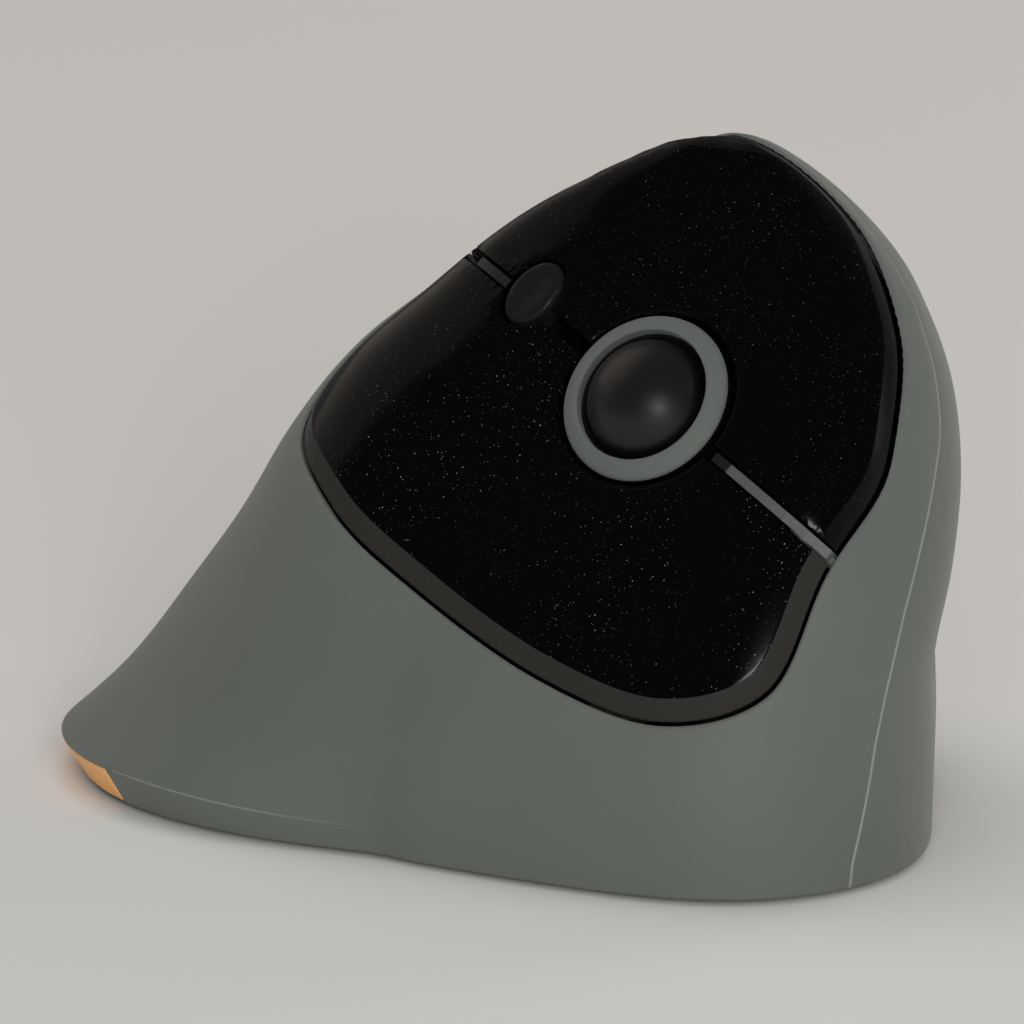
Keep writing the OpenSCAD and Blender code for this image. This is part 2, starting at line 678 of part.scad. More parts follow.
// Switches under the two large buttons: the middle of each case, the plunger forward of it
micro_at = [16.6, 1.5];
micro = [5.8, 12.8, 6.5];
plunger_y = micro_at[1] + 3;
plunger = [1.4, 2.6, 2.2];
plunger_play = 0.12;
plunger_out = 0.6;
micro_top = -frame_depth + micro[2];
module microswitches() {
    color("#1d1e20") in_panel() for (s = [-1, 1]) difference() {
        translate([s * micro_at[0] - micro[0] / 2, micro_at[1] - micro[1] / 2, -frame_depth]) cube(micro);
        translate([s * micro_at[0] - plunger[0] / 2 - plunger_play,
                   plunger_y - plunger[1] / 2 - plunger_play, micro_top - plunger[2] - 0.3])
            cube([plunger[0] + 2 * plunger_play, plunger[1] + 2 * plunger_play, plunger[2] + 1]);
    }
}
module switch_plunger(s) {
    color("#b8442e") in_panel()
        translate([s * micro_at[0] - plunger[0] / 2, plunger_y - plunger[1] / 2,
                   micro_top + plunger_out - plunger[2]]) cube(plunger);
}
module upper_plunger() { switch_plunger(-1); }
module lower_plunger() { switch_plunger(1); }
// Small square switches, with a round nub that the stems press
tact = 6;
tact_h = 3;
nub_r = 1.4;
nub_h = 0.4;
module small_switch() {
    translate([-tact / 2, -tact / 2, 0]) cube([tact, tact, tact_h]);
    cylinder(r = nub_r, h = tact_h + nub_h);
}
module tact_switch() {
    color("#1d1e20") in_panel() translate([oval_at[0], oval_at[1], -switch_board_depth]) small_switch();
}
module side_board() {
    color("#2f6b4a") in_thumb() difference() {
        translate([-3.6, -11.5, side_board_z - board_t]) cube([12.8, 23, board_t]);
        for (s = [-1, 1]) translate([side_post_x, s * side_post_y, side_board_z - board_t - 1])
            cylinder(r = screw_r + screw_play, h = board_t + 2);
    }
}
module side_switches() {
    color("#1d1e20") in_thumb() for (s = [-1, 1]) translate([-0.2, s * side_y, side_board_z]) small_switch();
}

// Ball, its carrier, the balls it runs on, its rollers and the ring that holds it in
ball_gap = 0.3;
carrier_r = 9.7;
carrier_top = -3;
carrier_foot_r = 13;
carrier_foot_t = 1.3;
carrier_screw_at = 11.4;
roll_gap = 0.04;
roller_dip = 35;
roller_l = 4;
shaft_r = 0.5;
shaft_play = 0.05;
shaft_l = 7.6;
roller_y = (ball_r + roller_r + roll_gap) * cos(roller_dip);
roller_z = -ball_sink - (ball_r + roller_r + roll_gap) * sin(roller_dip);
bearing_r = 1;
bearing_dip = 50;
bearing_turns = [15, 135, 255];
tab_turns = [10, 130, 250];
tab_w = 12;
tab_r = 9.1;
tab_depth = 1.2;
ring_twist = 25;
ring_under = carrier_top + 0.1;
module at_bearing(turn) {
    translate([0, 0, -ball_sink]) rotate([0, bearing_dip, turn])
        translate([ball_r + bearing_r + 0.05, 0, 0]) children();
}
module sector(from, to, inner, outer, z, h) {
    translate([0, 0, z]) difference() {
        linear_extrude(h) polygon(concat([[0, 0]],
            [for (i = [0 : 6]) let (a = from + (to - from) * i / 6) outer * [cos(a), sin(a)]]));
        translate([0, 0, -1]) cylinder(r = inner, h = h + 2);
    }
}
module roller_cuts() {
    translate([-roller_l / 2 - 0.3, ball_r - 2.3, roller_z - roller_r - 0.35])
        cube([roller_l + 0.6, 6, 2 * roller_r + 0.7]);
    translate([-shaft_l / 2 - 0.2, roller_y, roller_z]) rotate([0, 90, 0])
        cylinder(r = shaft_r + shaft_play, h = shaft_l + 0.4);
}
module ball_carrier() {
    color("#4a4c4b") in_panel() difference() {
        union() {
            translate([0, 0, -frame_depth]) cylinder(r = carrier_r, h = frame_depth + carrier_top);
            translate([0, 0, -frame_depth]) cylinder(r = carrier_foot_r, h = carrier_foot_t);
        }
        translate([0, 0, -ball_sink]) sphere(r = ball_r + ball_gap);
        translate([0, 0, -frame_depth - 1]) cylinder(r = 2, h = 4);
        for (a = bearing_turns) at_bearing(a) sphere(r = bearing_r + 0.05);
        roller_cuts();
        rotate([0, 0, 90]) roller_cuts();
        for (a = tab_turns)
            sector(a - 2, a + tab_w + ring_twist + 2, tab_r - 0.15, carrier_r + 2,
                carrier_top - tab_depth - 0.3, 3);
        for (s = [-1, 1]) rotate([0, 0, 60]) translate([s * carrier_screw_at, 0, -frame_depth - 1])
            cylinder(r = 0.9, h = 4);
        translate([-rib_w / 2 - 0.1, ring_r + ring_gap + 0.6, -frame_depth - 1])
            cube([rib_w + 0.2, carrier_foot_r, carrier_foot_t + 2]);
    }
}
module support_bearings() {
    color("#d0d3d6") in_panel() for (a = bearing_turns) at_bearing(a) sphere(r = bearing_r);
}
module roller() {
    translate([-roller_l / 2, roller_y, roller_z]) rotate([0, 90, 0]) cylinder(r = roller_r, h = roller_l);
    translate([-shaft_l / 2, roller_y, roller_z]) rotate([0, 90, 0]) cylinder(r = shaft_r, h = shaft_l);
}
module scroll_roller() { color("#c8cacc") in_panel() roller(); }
module side_roller() { color("#c8cacc") in_panel() rotate([0, 0, 90]) roller(); }
module scroll_ball() {
    color("#232323") in_panel() translate([0, 0, -ball_sink]) sphere(r = ball_r, $fn = 96);
}
// The ring's section, from its foot round over its soft face to the lip that traps the ball
lip_r = ball_r - 0.3;
skirt_r = ball_r + 0.35;
module retaining_ring() {
    color("#5c615c") in_panel() {
        rotate_extrude($fn = 96) polygon([[skirt_r, ring_under], [ring_r, ring_under],
            [ring_r, ring_top - 1.6], [ring_r - 0.15, ring_top - 1], [ring_r - 0.5, ring_top - 0.45],
            [ring_r - 0.95, ring_top - 0.1], [ring_r - 1.35, ring_top], [skirt_r + 0.15, ring_top - 0.15],
            [skirt_r, ring_top - 0.4], [skirt_r - 0.05, ring_top - 0.9], [lip_r, ring_top - 0.9],
            [lip_r, ring_top - 1.3], [skirt_r, ring_top - 1.3]]);
        for (a = tab_turns)
            sector(a, a + tab_w, tab_r, carrier_r - 0.05, carrier_top - tab_depth, tab_depth + 0.6);
    }
}

// The two large buttons: a slice of the body's wall with lugs for the pin and a foot for the switch
lug_depth = 1.7;
foot_play = 0.1;
press_r = 1.2;
module oval_shape(z, h, grow) {
    translate([oval_at[0], oval_at[1], z]) linear_extrude(h) polygon(
        [for (a = [0 : 15 : 345]) [(oval_l / 2 + grow) * cos(a), (oval_w / 2 + grow) * sin(a)]]);
}
module large_button(i, side) {
    h = hinges[i];
    color("#151515") one_mesh() difference() {
        union() {
            intersection() {
                difference() {
                    body_solid();
                    body_solid(wall);
                }
                panel_prism(0, cut_depth - press_room);
                in_panel() translate([side > 0 ? slit_w / 2 : -slit_w / 2 - body_w, -body_l, -body_h])
                    cube([body_w, 2 * body_l, 2 * body_h]);
            }
            intersection() {
                body_solid(wall / 2);
                in_panel() {
                    for (s = [-1, 1])
                        translate([h[0] + s * lug_x - ear_t / 2, h[1] - lug_depth, -hinge_depth - lug_depth])
                            cube([ear_t, 2 * lug_depth, hinge_depth + lug_depth]);
                    translate([side * micro_at[0], plunger_y, micro_top + plunger_out + foot_play])
                        cylinder(r = press_r, h = -micro_top, $fn = 24);
                }
            }
        }
        in_panel() {
            translate([0, 0, -cut_depth]) cylinder(r = ring_r + ring_gap, h = cut_depth + cut_over, $fn = 72);
            oval_shape(-sleeve_r - 3, 12, 0.35);
            translate([h[0] - 10, h[1], -hinge_depth]) rotate([0, 90, 0])
                cylinder(r = pin_r + hinge_play, h = 20, $fn = 32);
        }
    }
}
module upper_button() { large_button(0, -1); }
module lower_button() { large_button(1, 1); }
oval_travel = 0.5;
module oval_button() {
    color("#151515") in_panel() {
        oval_shape(-2.2, 2.9, 0);
        oval_shape(0, 1, -0.25);
        oval_shape(0, 1.25, -0.65);
        translate([oval_at[0], oval_at[1], -switch_board_depth + tact_h + nub_h + oval_travel + 0.1])
            cylinder(r = stem_r, h = switch_board_depth - tact_h - nub_h - oval_travel - 1.1);
    }
}
module side_button(side) {
    color("#3a3c3b") one_mesh() union() {
        intersection() {
            difference() {
                body_solid(-0.7);
                body_solid(wall);
            }
            side_prism(side, 0);
        }
        intersection() {
            body_solid(wall / 2);
            in_thumb() translate([-0.2, side * side_y, side_board_z + tact_h + nub_h + side_travel + 0.1])
                cylinder(r = press_r, h = -side_board_z, $fn = 24);
        }
    }
}
module forward_button() { side_button(-1); }
module back_button() { side_button(1); }

grip_shell();
thumb_shell();
base_plate();
accent_strip();
button_frame();
ball_carrier();
support_bearings();
button_pins();
switch_board();
microswitches();
tact_switch();
main_board();
optical_sensor();
sensor_lens();
side_board();
side_switches();
battery();
battery_spring();
battery_contact();
power_switch();
glide_feet();
base_screws();
frame_screws();
board_screws();
upper_button();
lower_button();
upper_plunger();
lower_plunger();
oval_button();
retaining_ring();
scroll_ball();
scroll_roller();
side_roller();
forward_button();
back_button();
battery_door();
power_slider();
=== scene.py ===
import json
import math
import bpy
import bmesh
import numpy as np
from mathutils import Matrix, Vector
from mathutils.geometry import delaunay_2d_cdt
from mathutils.kdtree import KDTree


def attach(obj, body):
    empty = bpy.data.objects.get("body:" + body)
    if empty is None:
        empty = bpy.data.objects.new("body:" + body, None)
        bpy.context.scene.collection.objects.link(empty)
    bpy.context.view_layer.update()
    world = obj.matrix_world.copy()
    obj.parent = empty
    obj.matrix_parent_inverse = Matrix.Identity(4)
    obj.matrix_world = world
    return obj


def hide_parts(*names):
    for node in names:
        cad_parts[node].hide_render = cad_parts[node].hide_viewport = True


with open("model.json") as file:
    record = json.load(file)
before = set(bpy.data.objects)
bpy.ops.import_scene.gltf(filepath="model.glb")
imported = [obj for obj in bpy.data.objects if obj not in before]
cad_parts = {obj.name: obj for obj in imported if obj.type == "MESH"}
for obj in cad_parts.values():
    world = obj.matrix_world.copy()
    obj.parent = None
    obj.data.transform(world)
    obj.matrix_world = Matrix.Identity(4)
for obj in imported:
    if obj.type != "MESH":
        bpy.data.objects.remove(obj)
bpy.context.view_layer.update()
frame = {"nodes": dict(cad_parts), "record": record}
mm = 0.001


def addObject(name, data):
    made = bpy.data.objects.new(name, data)
    bpy.context.scene.collection.objects.link(made)
    return made


# Camera: in front of the mouse, on its finger side, a little above the desk
view = {"turn": 58.03, "rise": 15.09, "distance": 1.0, "lens": 311.7, "nearest": 0.01,
        "target": (-0.00181, -0.00187, 0.0383), "aimRight": -0.00301, "aimUp": -0.00591}


def addCamera():
    turn, rise = math.radians(view["turn"]), math.radians(view["rise"])
    back = Vector((math.cos(turn) * math.cos(rise), math.sin(turn) * math.cos(rise), math.sin(rise)))
    right = Vector((-math.sin(turn), math.cos(turn), 0))
    up = back.cross(right)
    eye = Vector(view["target"]) + back * view["distance"]
    aim = Vector(view["target"]) + right * view["aimRight"] + up * view["aimUp"]
    data = bpy.data.cameras.new("mouseCamera")
    data.lens = view["lens"]
    data.clip_start = view["nearest"]
    camera = addObject("mouseCamera", data)
    camera.location = eye
    camera.rotation_euler = (aim - eye).to_track_quat("-Z", "Y").to_euler()
    bpy.context.scene.camera = camera


addCamera()
print("camera set")


# Shader wiring: a socket that can be added, multiplied and compared
class Wire:
    def __init__(self, tree, socket=None):
        self.tree = tree
        self.socket = socket

    def node(self, kind, settings=None, values=None, output=0):
        made = self.tree.nodes.new("ShaderNode" + kind)
        for key, value in (settings or {}).items():
            setattr(made, key, value)
        for key, value in (values or {}).items():
            if isinstance(value, Wire):
                self.tree.links.new(value.socket, made.inputs[key])
            else:
                made.inputs[key].default_value = value
        return Wire(self.tree, made.outputs[output])

    def sum(self, operation, first, second=0.0):
        return self.node("Math", {"operation": operation}, {0: first, 1: second})

    def __add__(self, other):
        return self.sum("ADD", self, other)

    __radd__ = __add__

    def __sub__(self, other):
        return self.sum("SUBTRACT", self, other)

    def __rsub__(self, other):
        return self.sum("SUBTRACT", other, self)

    def __mul__(self, other):
        return self.sum("MULTIPLY", self, other)

    def __lt__(self, other):
        return self.sum("LESS_THAN", self, other)

    def __gt__(self, other):
        return self.sum("GREATER_THAN", self, other)

    def between(self, low, high):
        return self.node("MapRange", {"interpolation_type": "SMOOTHSTEP"},
                         {"Value": self, "From Min": low, "From Max": high})

    def blend(self, first, second):
        return self.node("Mix", {"data_type": "RGBA"}, {0: self, 6: first, 7: second}, output=2)

    def noise(self, place, scale, detail=2.0):
        return self.node("TexNoise", None, {"Vector": place, "Scale": scale, "Detail": detail})

    def edgeDistance(self):
        return self.node("Attribute", {"attribute_name": "edgeDistance"}, output=2)


def tone(red, green, blue):
    parts = [value / 255 for value in (red, green, blue)]
    return (*[p / 12.92 if p <= 0.04045 else ((p + 0.055) / 1.055) ** 2.4 for p in parts], 1)


def newMaterial(name, **constants):
    material = bpy.data.materials.new(name)
    material.use_nodes = True
    tree = material.node_tree
    shader = next(n for n in tree.nodes if n.type == "BSDF_PRINCIPLED")
    for key, value in constants.items():
        shader.inputs[key].default_value = value
    wire = Wire(tree)
    place = wire.node("TexCoord", output=3)
    return material, shader, wire, place


# Wires a finish: its colour, roughness, relief of this depth in metres, and how metallic it is
def feed(shader, color, rough, height=None, depth=0.0, metal=None):
    bump = height and height.node("Bump", None, {"Height": height, "Distance": depth, "Strength": 1.0})
    for name, value in (("Base Color", color), ("Roughness", rough), ("Normal", bump), ("Metallic", metal)):
        if value:
            value.tree.links.new(value.socket, shader.inputs[name])


def shaded(color, share):
    return (*[min(1, part * share) for part in color[:3]], 1)


# Moulded plastic: a main colour that drifts a little, a fine grain and a roughness that varies with it
def plastic(name, color, rough, grain=2600, depth=0.00001, drift=0.2, sheen=0.0, specular=0.5, seamHighlightColor=None):
    constants = {"Sheen Weight": sheen, "Sheen Roughness": 0.45, "Specular IOR Level": specular}
    material, shader, wire, place = newMaterial(name, **constants)
    cloud = wire.noise(place, 45, 3)
    fine = wire.noise(place, grain, 2)
    mask = cloud * 0.75 + fine * 0.25
    shade = mask.between(0.25, 0.75).blend(shaded(color, 1 - drift), shaded(color, 1 + drift))
    # Where a seam colour is given, a pale line along the seam and the crease is painted in as a highlight
    if seamHighlightColor:
        shade = ((1 - wire.edgeDistance().between(0.08, 0.26)) * 0.9).blend(shade, seamHighlightColor)
    feed(shader, shade, rough + (fine - 0.5) * 0.12 + (cloud - 0.5) * 0.08, fine, depth)
    return material


# Gloss black with fine bright flecks, and a satin band along the outer edge whose tone is painted light: a lighter
# brown for reflection on the lower button, near black for shade on the upper one
gloss = {"bandWidth": 2.5, "bandSoft": 0.05, "specular": 0.1, "rough": 0.14, "bandRough": 0.45,
         "black": (1, 1, 1), "band": (47, 45, 42), "grit": (74, 70, 65), "fleck": (205, 205, 202),
         "fleckSizes": ((1700.0, 0.5), (2900.0, 0.4))}


def glossPanel(name, fleckAmount, bandColor, bandRough):
    material, shader, wire, place = newMaterial(name, **{"Specular IOR Level": gloss["specular"]})
    band = 1 - wire.edgeDistance().between(gloss["bandWidth"] - gloss["bandSoft"],
                                           gloss["bandWidth"] + gloss["bandSoft"])
    patch = wire.noise(place, 70, 2).between(0.3, 0.62)
    fleck = 0.0
    for scale, share in gloss["fleckSizes"]:
        cells, pick = (wire.node("TexVoronoi", None, {"Vector": place, "Scale": scale}, k)
                       for k in (0, 1))
        chosen, bright = (wire.node("SeparateColor", None, {0: pick}, k) for k in (0, 1))
        fleck = (1 - cells.between(0.04, 0.13)) * (chosen > share) * bright + fleck
    fleck = fleck * patch * fleckAmount
    grit = wire.noise(place, 2600, 2).between(0.62, 0.8)
    smear = wire.noise(place, 60, 3)
    satin = (grit * 0.35).blend(tone(*bandColor), tone(*gloss["grit"]))
    inner = fleck.blend(tone(*gloss["black"]), tone(*gloss["fleck"]))
    rough = gloss["rough"] + band * (bandRough - gloss["rough"]) + (smear - 0.5) * 0.04
    feed(shader, band.blend(inner, satin), rough, wire.noise(place, 2200, 2) * (band + 0.03), 0.000012)
    return material


# The frame's rib keeps its own grey in the front of the slit only: elsewhere it is painted near black as shade,
# where it lies in the dark
def ribPaintedShade(name, frontFrom=0.0135):
    material, shader, wire, place = newMaterial(name)
    away = wire.node("VectorMath", {"operation": "SUBTRACT"}, {0: place, 1: tuple(panel["origin"] * mm)})
    along = wire.node("VectorMath", {"operation": "DOT_PRODUCT"}, {0: away, 1: tuple(panel["y"])}, 1)
    grain = wire.noise(place, 1800, 2)
    front = along.between(frontFrom - 0.0002, frontFrom + 0.0002)
    feed(shader, front.blend(tone(7, 8, 8), tone(84, 88, 85)), 0.5 + (grain - 0.5) * 0.14, grain, 0.00002)
    return material


def metal(name, color, rough):
    material, shader, wire, place = newMaterial(name, Metallic=1.0)
    grain = wire.noise(place, 900, 3)
    spots = wire.noise(place, 160, 2)
    worn = spots.between(0.3, 0.7).blend(shaded(color, 0.8), color)
    feed(shader, worn, rough + (grain - 0.5) * 0.2, grain, 0.00001)
    return material


def boardGreen(name):
    material, shader, wire, place = newMaterial(name)
    lanes = wire.node("TexVoronoi", {"feature": "DISTANCE_TO_EDGE"},
                      {"Vector": place, "Scale": 420.0, "Randomness": 0.35})
    track = 1 - lanes.between(0.05, 0.11)
    weave = wire.noise(place, 1500, 2)
    feed(shader, track.blend(tone(28, 84, 58), tone(52, 118, 80)), 0.36 + (weave - 0.5) * 0.14,
         track + weave * 0.2, 0.00003)
    return material


def cellSleeve(name, goldFrom=0.013, goldBelow=-0.021):
    material, shader, wire, place = newMaterial(name)
    along = wire.node("SeparateXYZ", None, {0: place}, output=1)
    band = (along > goldFrom) + (along < goldBelow)
    scuff = wire.noise(place, 300, 4)
    feed(shader, band.blend(tone(58, 92, 76), tone(176, 170, 156)), 0.34 + (scuff - 0.5) * 0.2,
         scuff, 0.00001, band * 0.8)
    return material


def clearLens(name):
    material, shader, wire, place = newMaterial(name, **{"Transmission Weight": 0.9, "IOR": 1.49})
    haze = wire.noise(place, 200, 2)
    feed(shader, haze.between(0.2, 0.8).blend(tone(214, 226, 232), tone(232, 240, 244)), 0.05 + haze * 0.06,
         haze, 0.000008)
    return material


# The body's rule: six sides of a level section, given at nine heights, a flange, a thumb groove and
# a rounded ridge. The same rule and sizes as in the CAD source, in millimetres, with a softer crease.
body = {"height": 76.6, "length": 101.6, "width": 90.4, "footHeight": 0.6, "wall": 2.0, "sectionPower": 7,
        "flangeReach": 28, "flangeSweep": 15, "flangeTurn": -38, "flangeHalf": 58, "rimLow": 0.3, "rimHeight": 5.6,
        "grooveDepth": 5.5, "grooveZ": 30, "grooveTurn": 195, "grooveHalf": 62, "grooveHalfHeight": 16,
        "domeZ": 58, "crownCut": 0.05, "creaseSoft": 0.1}
ledge = {"out": 0, "z": 16.6, "soft": 0.7, "from": 122, "to": 258, "ramp": 24}
sideTurn = np.array([-30, 30, 90, 150, 210, 270])
levelZ = np.array([0, 10, 20, 30, 40, 50, 60, 68, 76.6])
levelCols = np.array([
    [33.5, 34.8, 36.6, 37.8, 37.4, 33.2, 26, 21.5, 18],
    [38.8, 38.6, 35.5, 30.9, 25, 18.7, 12.1, 8, 5],
    [50.5, 50, 48, 45, 41, 36, 27.5, 20, 13],
    [37.2, 37.2, 37.6, 37.8, 36.7, 32.6, 25, 18, 12],
    [32, 32, 31, 29.5, 28.5, 26.5, 22.5, 18, 12],
    [49, 48.5, 46.5, 43, 37.5, 30.5, 22.5, 16.5, 10],
    [-7, -7, -7, -7.5, -8.5, -10.5, -13.2, -15.5, -16.5],
    [3, 3, 3.5, 4.5, 6, 8, 10.5, 12.8, 14]])
topZ = levelZ[-1]
levelStep = np.diff(levelZ)


def slopesOf(cols):
    rise = np.diff(cols, axis=1) / levelStep
    inner = (rise[:, :-1] * levelStep[1:] + rise[:, 1:] * levelStep[:-1]) / (levelStep[1:] + levelStep[:-1])
    return np.concatenate([rise[:, :1], inner, rise[:, -1:]], axis=1)


levelSlope = slopesOf(levelCols)


def bump(offset, half):
    return np.where(np.abs(offset) < half, (1 + np.cos(np.pi * offset / half)) / 2, 0)


def turnBetween(a, b):
    return (a - b + 540) % 360 - 180


def levelAt(z):
    z = np.clip(z, 0, topZ)
    i = np.clip(np.searchsorted(levelZ, z, side="right") - 1, 0, len(levelZ) - 2)
    h = levelStep[i]
    t = (z - levelZ[i]) / h
    return (levelCols[:, i] * (1 + 2 * t) * (1 - t) ** 2 + levelSlope[:, i] * h * t * (1 - t) ** 2
            + levelCols[:, i + 1] * t * t * (3 - 2 * t) + levelSlope[:, i + 1] * h * t * t * (t - 1))


def creaseZ(turn):
    spread = bump(turnBetween(turn, body["flangeTurn"]), body["flangeHalf"])
    return body["rimLow"] + (body["rimHeight"] - body["rimLow"]) * np.minimum(1, 1.5 * spread ** 1.1)


def overDome(z):
    return np.clip((z - body["domeZ"]) / (topZ - body["domeZ"]), 0, 1)


def domeAt(z):
    return np.sqrt(1 - overDome(z) ** 2)


def sectionRadius(turn, z, soft):
    level = levelAt(z)
    f = bump(turnBetween(turn, body["flangeTurn"]), body["flangeHalf"]) ** 0.9
    facing = np.cos(np.radians(turn[None, :] - sideTurn[:, None]))
    power = body["sectionPower"]
    main = ((np.maximum(0, facing) / level[:6]) ** power).sum(0) ** (-1 / power)
    above = z - creaseZ(turn)
    over = soft * np.logaddexp(0, above / soft)
    under = soft * np.logaddexp(0, -above / soft)
    groove = (bump(turnBetween(turn, body["grooveTurn"]), body["grooveHalf"])
              * bump(z - body["grooveZ"], body["grooveHalfHeight"]))
    ramp = np.clip(np.minimum(turn % 360 - ledge["from"], ledge["to"] - turn % 360) / ledge["ramp"], 0, 1)
    drop = np.clip(0.5 - (z - ledge["z"]) / (2 * ledge["soft"]), 0, 1)
    step = ledge["out"] * ramp ** 2 * (3 - 2 * ramp) * drop ** 2 * (3 - 2 * drop)
    return (main + body["flangeReach"] * f * np.exp(-over / body["flangeSweep"]) - 0.5 * f * under
            - body["grooveDepth"] * groove + step)


def rawPoint(turn, z, dome=1.0, soft=body["creaseSoft"]):
    level = levelAt(z)
    r = dome * sectionRadius(turn, z, soft)
    return np.stack([level[6] + r * np.cos(np.radians(turn)), level[7] + r * np.sin(np.radians(turn)), z], 1)


# The solids' crease is sharp, and their points decide how the body is fitted to its size
hardCrease = 0.001


def fitBody():
    turn = np.repeat(np.arange(60) * 6.0, 23)
    t = np.tile(np.arange(23), 60)
    low = creaseZ(turn)
    high = topZ - body["crownCut"]
    z = np.where(t <= 2, low * t / 2, low + (high - low) * (1 - (1 - np.maximum(t - 2, 0) / 20) ** 1.6))
    points = rawPoint(turn, z, domeAt(z), hardCrease)
    low, high = points.min(0), points.max(0)
    scale = [body["width"] / (high[0] - low[0]), body["length"] / (high[1] - low[1]),
             (body["height"] - body["footHeight"]) / (topZ - body["crownCut"])]
    return np.array([(low[0] + high[0]) / 2, (low[1] + high[1]) / 2, 0]), np.array(scale)


rawMid, fitScale = fitBody()
lift = np.array([0, 0, body["footHeight"]])


def placed(raw):
    return (raw - rawMid) * fitScale + lift


def unplaced(points):
    return (points - lift) / fitScale + rawMid


def skinAt(turn, z, dome=1.0):
    return placed(rawPoint(turn, z + 0 * turn, dome))


# The body's surface is laid out flat as a disc: the ridge's top in the middle, the lower edge outside
disc = {"inner": 25.0, "growth": 0.8}


def discRadius(z):
    below = disc["inner"] + disc["growth"] * (body["domeZ"] - z)
    return np.where(z < body["domeZ"], below, disc["inner"] * (1 - 2 * np.arcsin(overDome(z)) / np.pi))


discRim = discRadius(np.array([0.0]))[0]


def aroundMiddle(points):
    raw = unplaced(points)
    away = raw[:, :2] - levelAt(raw[:, 2])[6:8].T
    return np.arctan2(away[:, 1], away[:, 0]), np.hypot(away[:, 0], away[:, 1]), raw[:, 2]


def toDisc(points):
    turn, _, height = aroundMiddle(points)
    rho = discRadius(np.clip(height, 0, topZ))
    return np.stack([rho * np.cos(turn), rho * np.sin(turn)], 1)


def turnAndZ(flat):
    rho = np.hypot(flat[:, 0], flat[:, 1])
    turn = np.degrees(np.arctan2(flat[:, 1], flat[:, 0]))
    climb = (1 - np.clip(rho / disc["inner"], 0, 1)) * np.pi / 2
    z = np.where(rho >= disc["inner"], body["domeZ"] - (rho - disc["inner"]) / disc["growth"],
                 body["domeZ"] + (topZ - body["domeZ"]) * np.sin(climb))
    return turn, np.clip(z, 0, topZ), np.cos(climb)


def fromDisc(flat):
    return skinAt(*turnAndZ(flat))


def discNormal(flat, reach=0.03):
    rho = np.maximum(np.hypot(flat[:, 0], flat[:, 1]), 1e-6)
    flat = flat * np.minimum(1, (discRim - reach) / rho)[:, None]
    across = fromDisc(flat + [reach, 0]) - fromDisc(flat - [reach, 0])
    along = fromDisc(flat + [0, reach]) - fromDisc(flat - [0, reach])
    normal = np.cross(across, along)
    return normal / np.linalg.norm(normal, axis=1)[:, None]


# Flat frames that the panel and the thumb buttons are drawn in: origin, x, y and outward directions
def drawingFrame(turn, z, way, rise, dip=0.0):
    turn, z = np.array([float(turn)]), np.array([float(z)])
    origin = placed(rawPoint(turn, z, domeAt(z), hardCrease))[0]
    way, rise, dip = (math.radians(v) for v in (way, rise, dip))
    out = np.array([math.cos(way) * math.cos(rise), math.sin(way) * math.cos(rise), math.sin(rise)])
    downhill = np.array([math.cos(way) * math.sin(rise), math.sin(way) * math.sin(rise), -math.cos(rise)])
    level = np.array([-math.sin(way), math.cos(way), 0])
    return {"origin": origin, "x": math.cos(dip) * downhill - math.sin(dip) * level,
            "y": math.sin(dip) * downhill + math.cos(dip) * level, "out": out}


panel = drawingFrame(turn=53.5, z=50.7, way=28.2, rise=35.5, dip=27.6)
thumb = drawingFrame(turn=185, z=50.5, way=204, rise=11.5)

# The visible skin follows the photo a millimetre closer than the solids do: a longer sweep and a lower
# rim of the flange, a soft ledge on the thumb side, and other distances at -30 and 150 degrees
body.update({"flangeSweep": 20.1, "rimHeight": 4.4, "rimLow": 3.0})
ledge["out"] = 0.9
levelCols[0] = [33.5, 34.8, 35.6, 34.7, 33.8, 31, 24.5, 22.5, 19.1]
levelCols[3] = [36.2, 36.4, 36.1, 37.3, 36.6, 32.6, 25, 18, 12]
levelSlope = slopesOf(levelCols)

finishes = {
    "soft_grey": plastic("softGrey", tone(93, 98, 93), 0.58, depth=0.00002, drift=0.05, sheen=0.1,
                         seamHighlightColor=tone(138, 144, 137)),
    "gloss_black": glossPanel("glossBlack", 1.0, gloss["band"], gloss["bandRough"]),
    "ring_grey": plastic("ringRubber", tone(93, 98, 94), 0.7, grain=3400, depth=0.00003, drift=0.05, sheen=0.1),
    "ball_black": plastic("ballBlack", tone(5, 4, 4), 0.42, grain=2400, depth=0.000008, drift=0.5),
    "inlay_orange": plastic("inlayOrange", tone(244, 178, 104), 0.42, grain=2000, drift=0.05),
    "base_black": plastic("baseBlack", tone(38, 39, 40), 0.62, grain=1500, depth=0.00005, drift=0.15),
    "frame_grey": ribPaintedShade("frameGreyPaintedShade"),
    "switch_black": plastic("switchBlack", tone(28, 29, 31), 0.4, grain=2400),
    "plunger_red": plastic("plungerRed", tone(184, 68, 46), 0.38, grain=2400, drift=0.1),
    "board_green": boardGreen("boardGreen"),
    "steel": metal("screwSteel", tone(186, 188, 190), 0.28),
    "contact_brass": metal("contactBrass", tone(214, 186, 128), 0.3),
    "cell_can": cellSleeve("cellSleeve"),
    "clear_lens": clearLens("clearLens"),
    "foot_black": plastic("footBlack", tone(24, 24, 25), 0.3, grain=1200),
    "side_grey": plastic("sideGrey", tone(70, 73, 71), 0.5, depth=0.00002, drift=0.06, sheen=0.1),
}
for item in frame["record"]["materials"]:
    if item["slot"] not in finishes:
        raise ValueError("no finish for slot " + item["slot"])

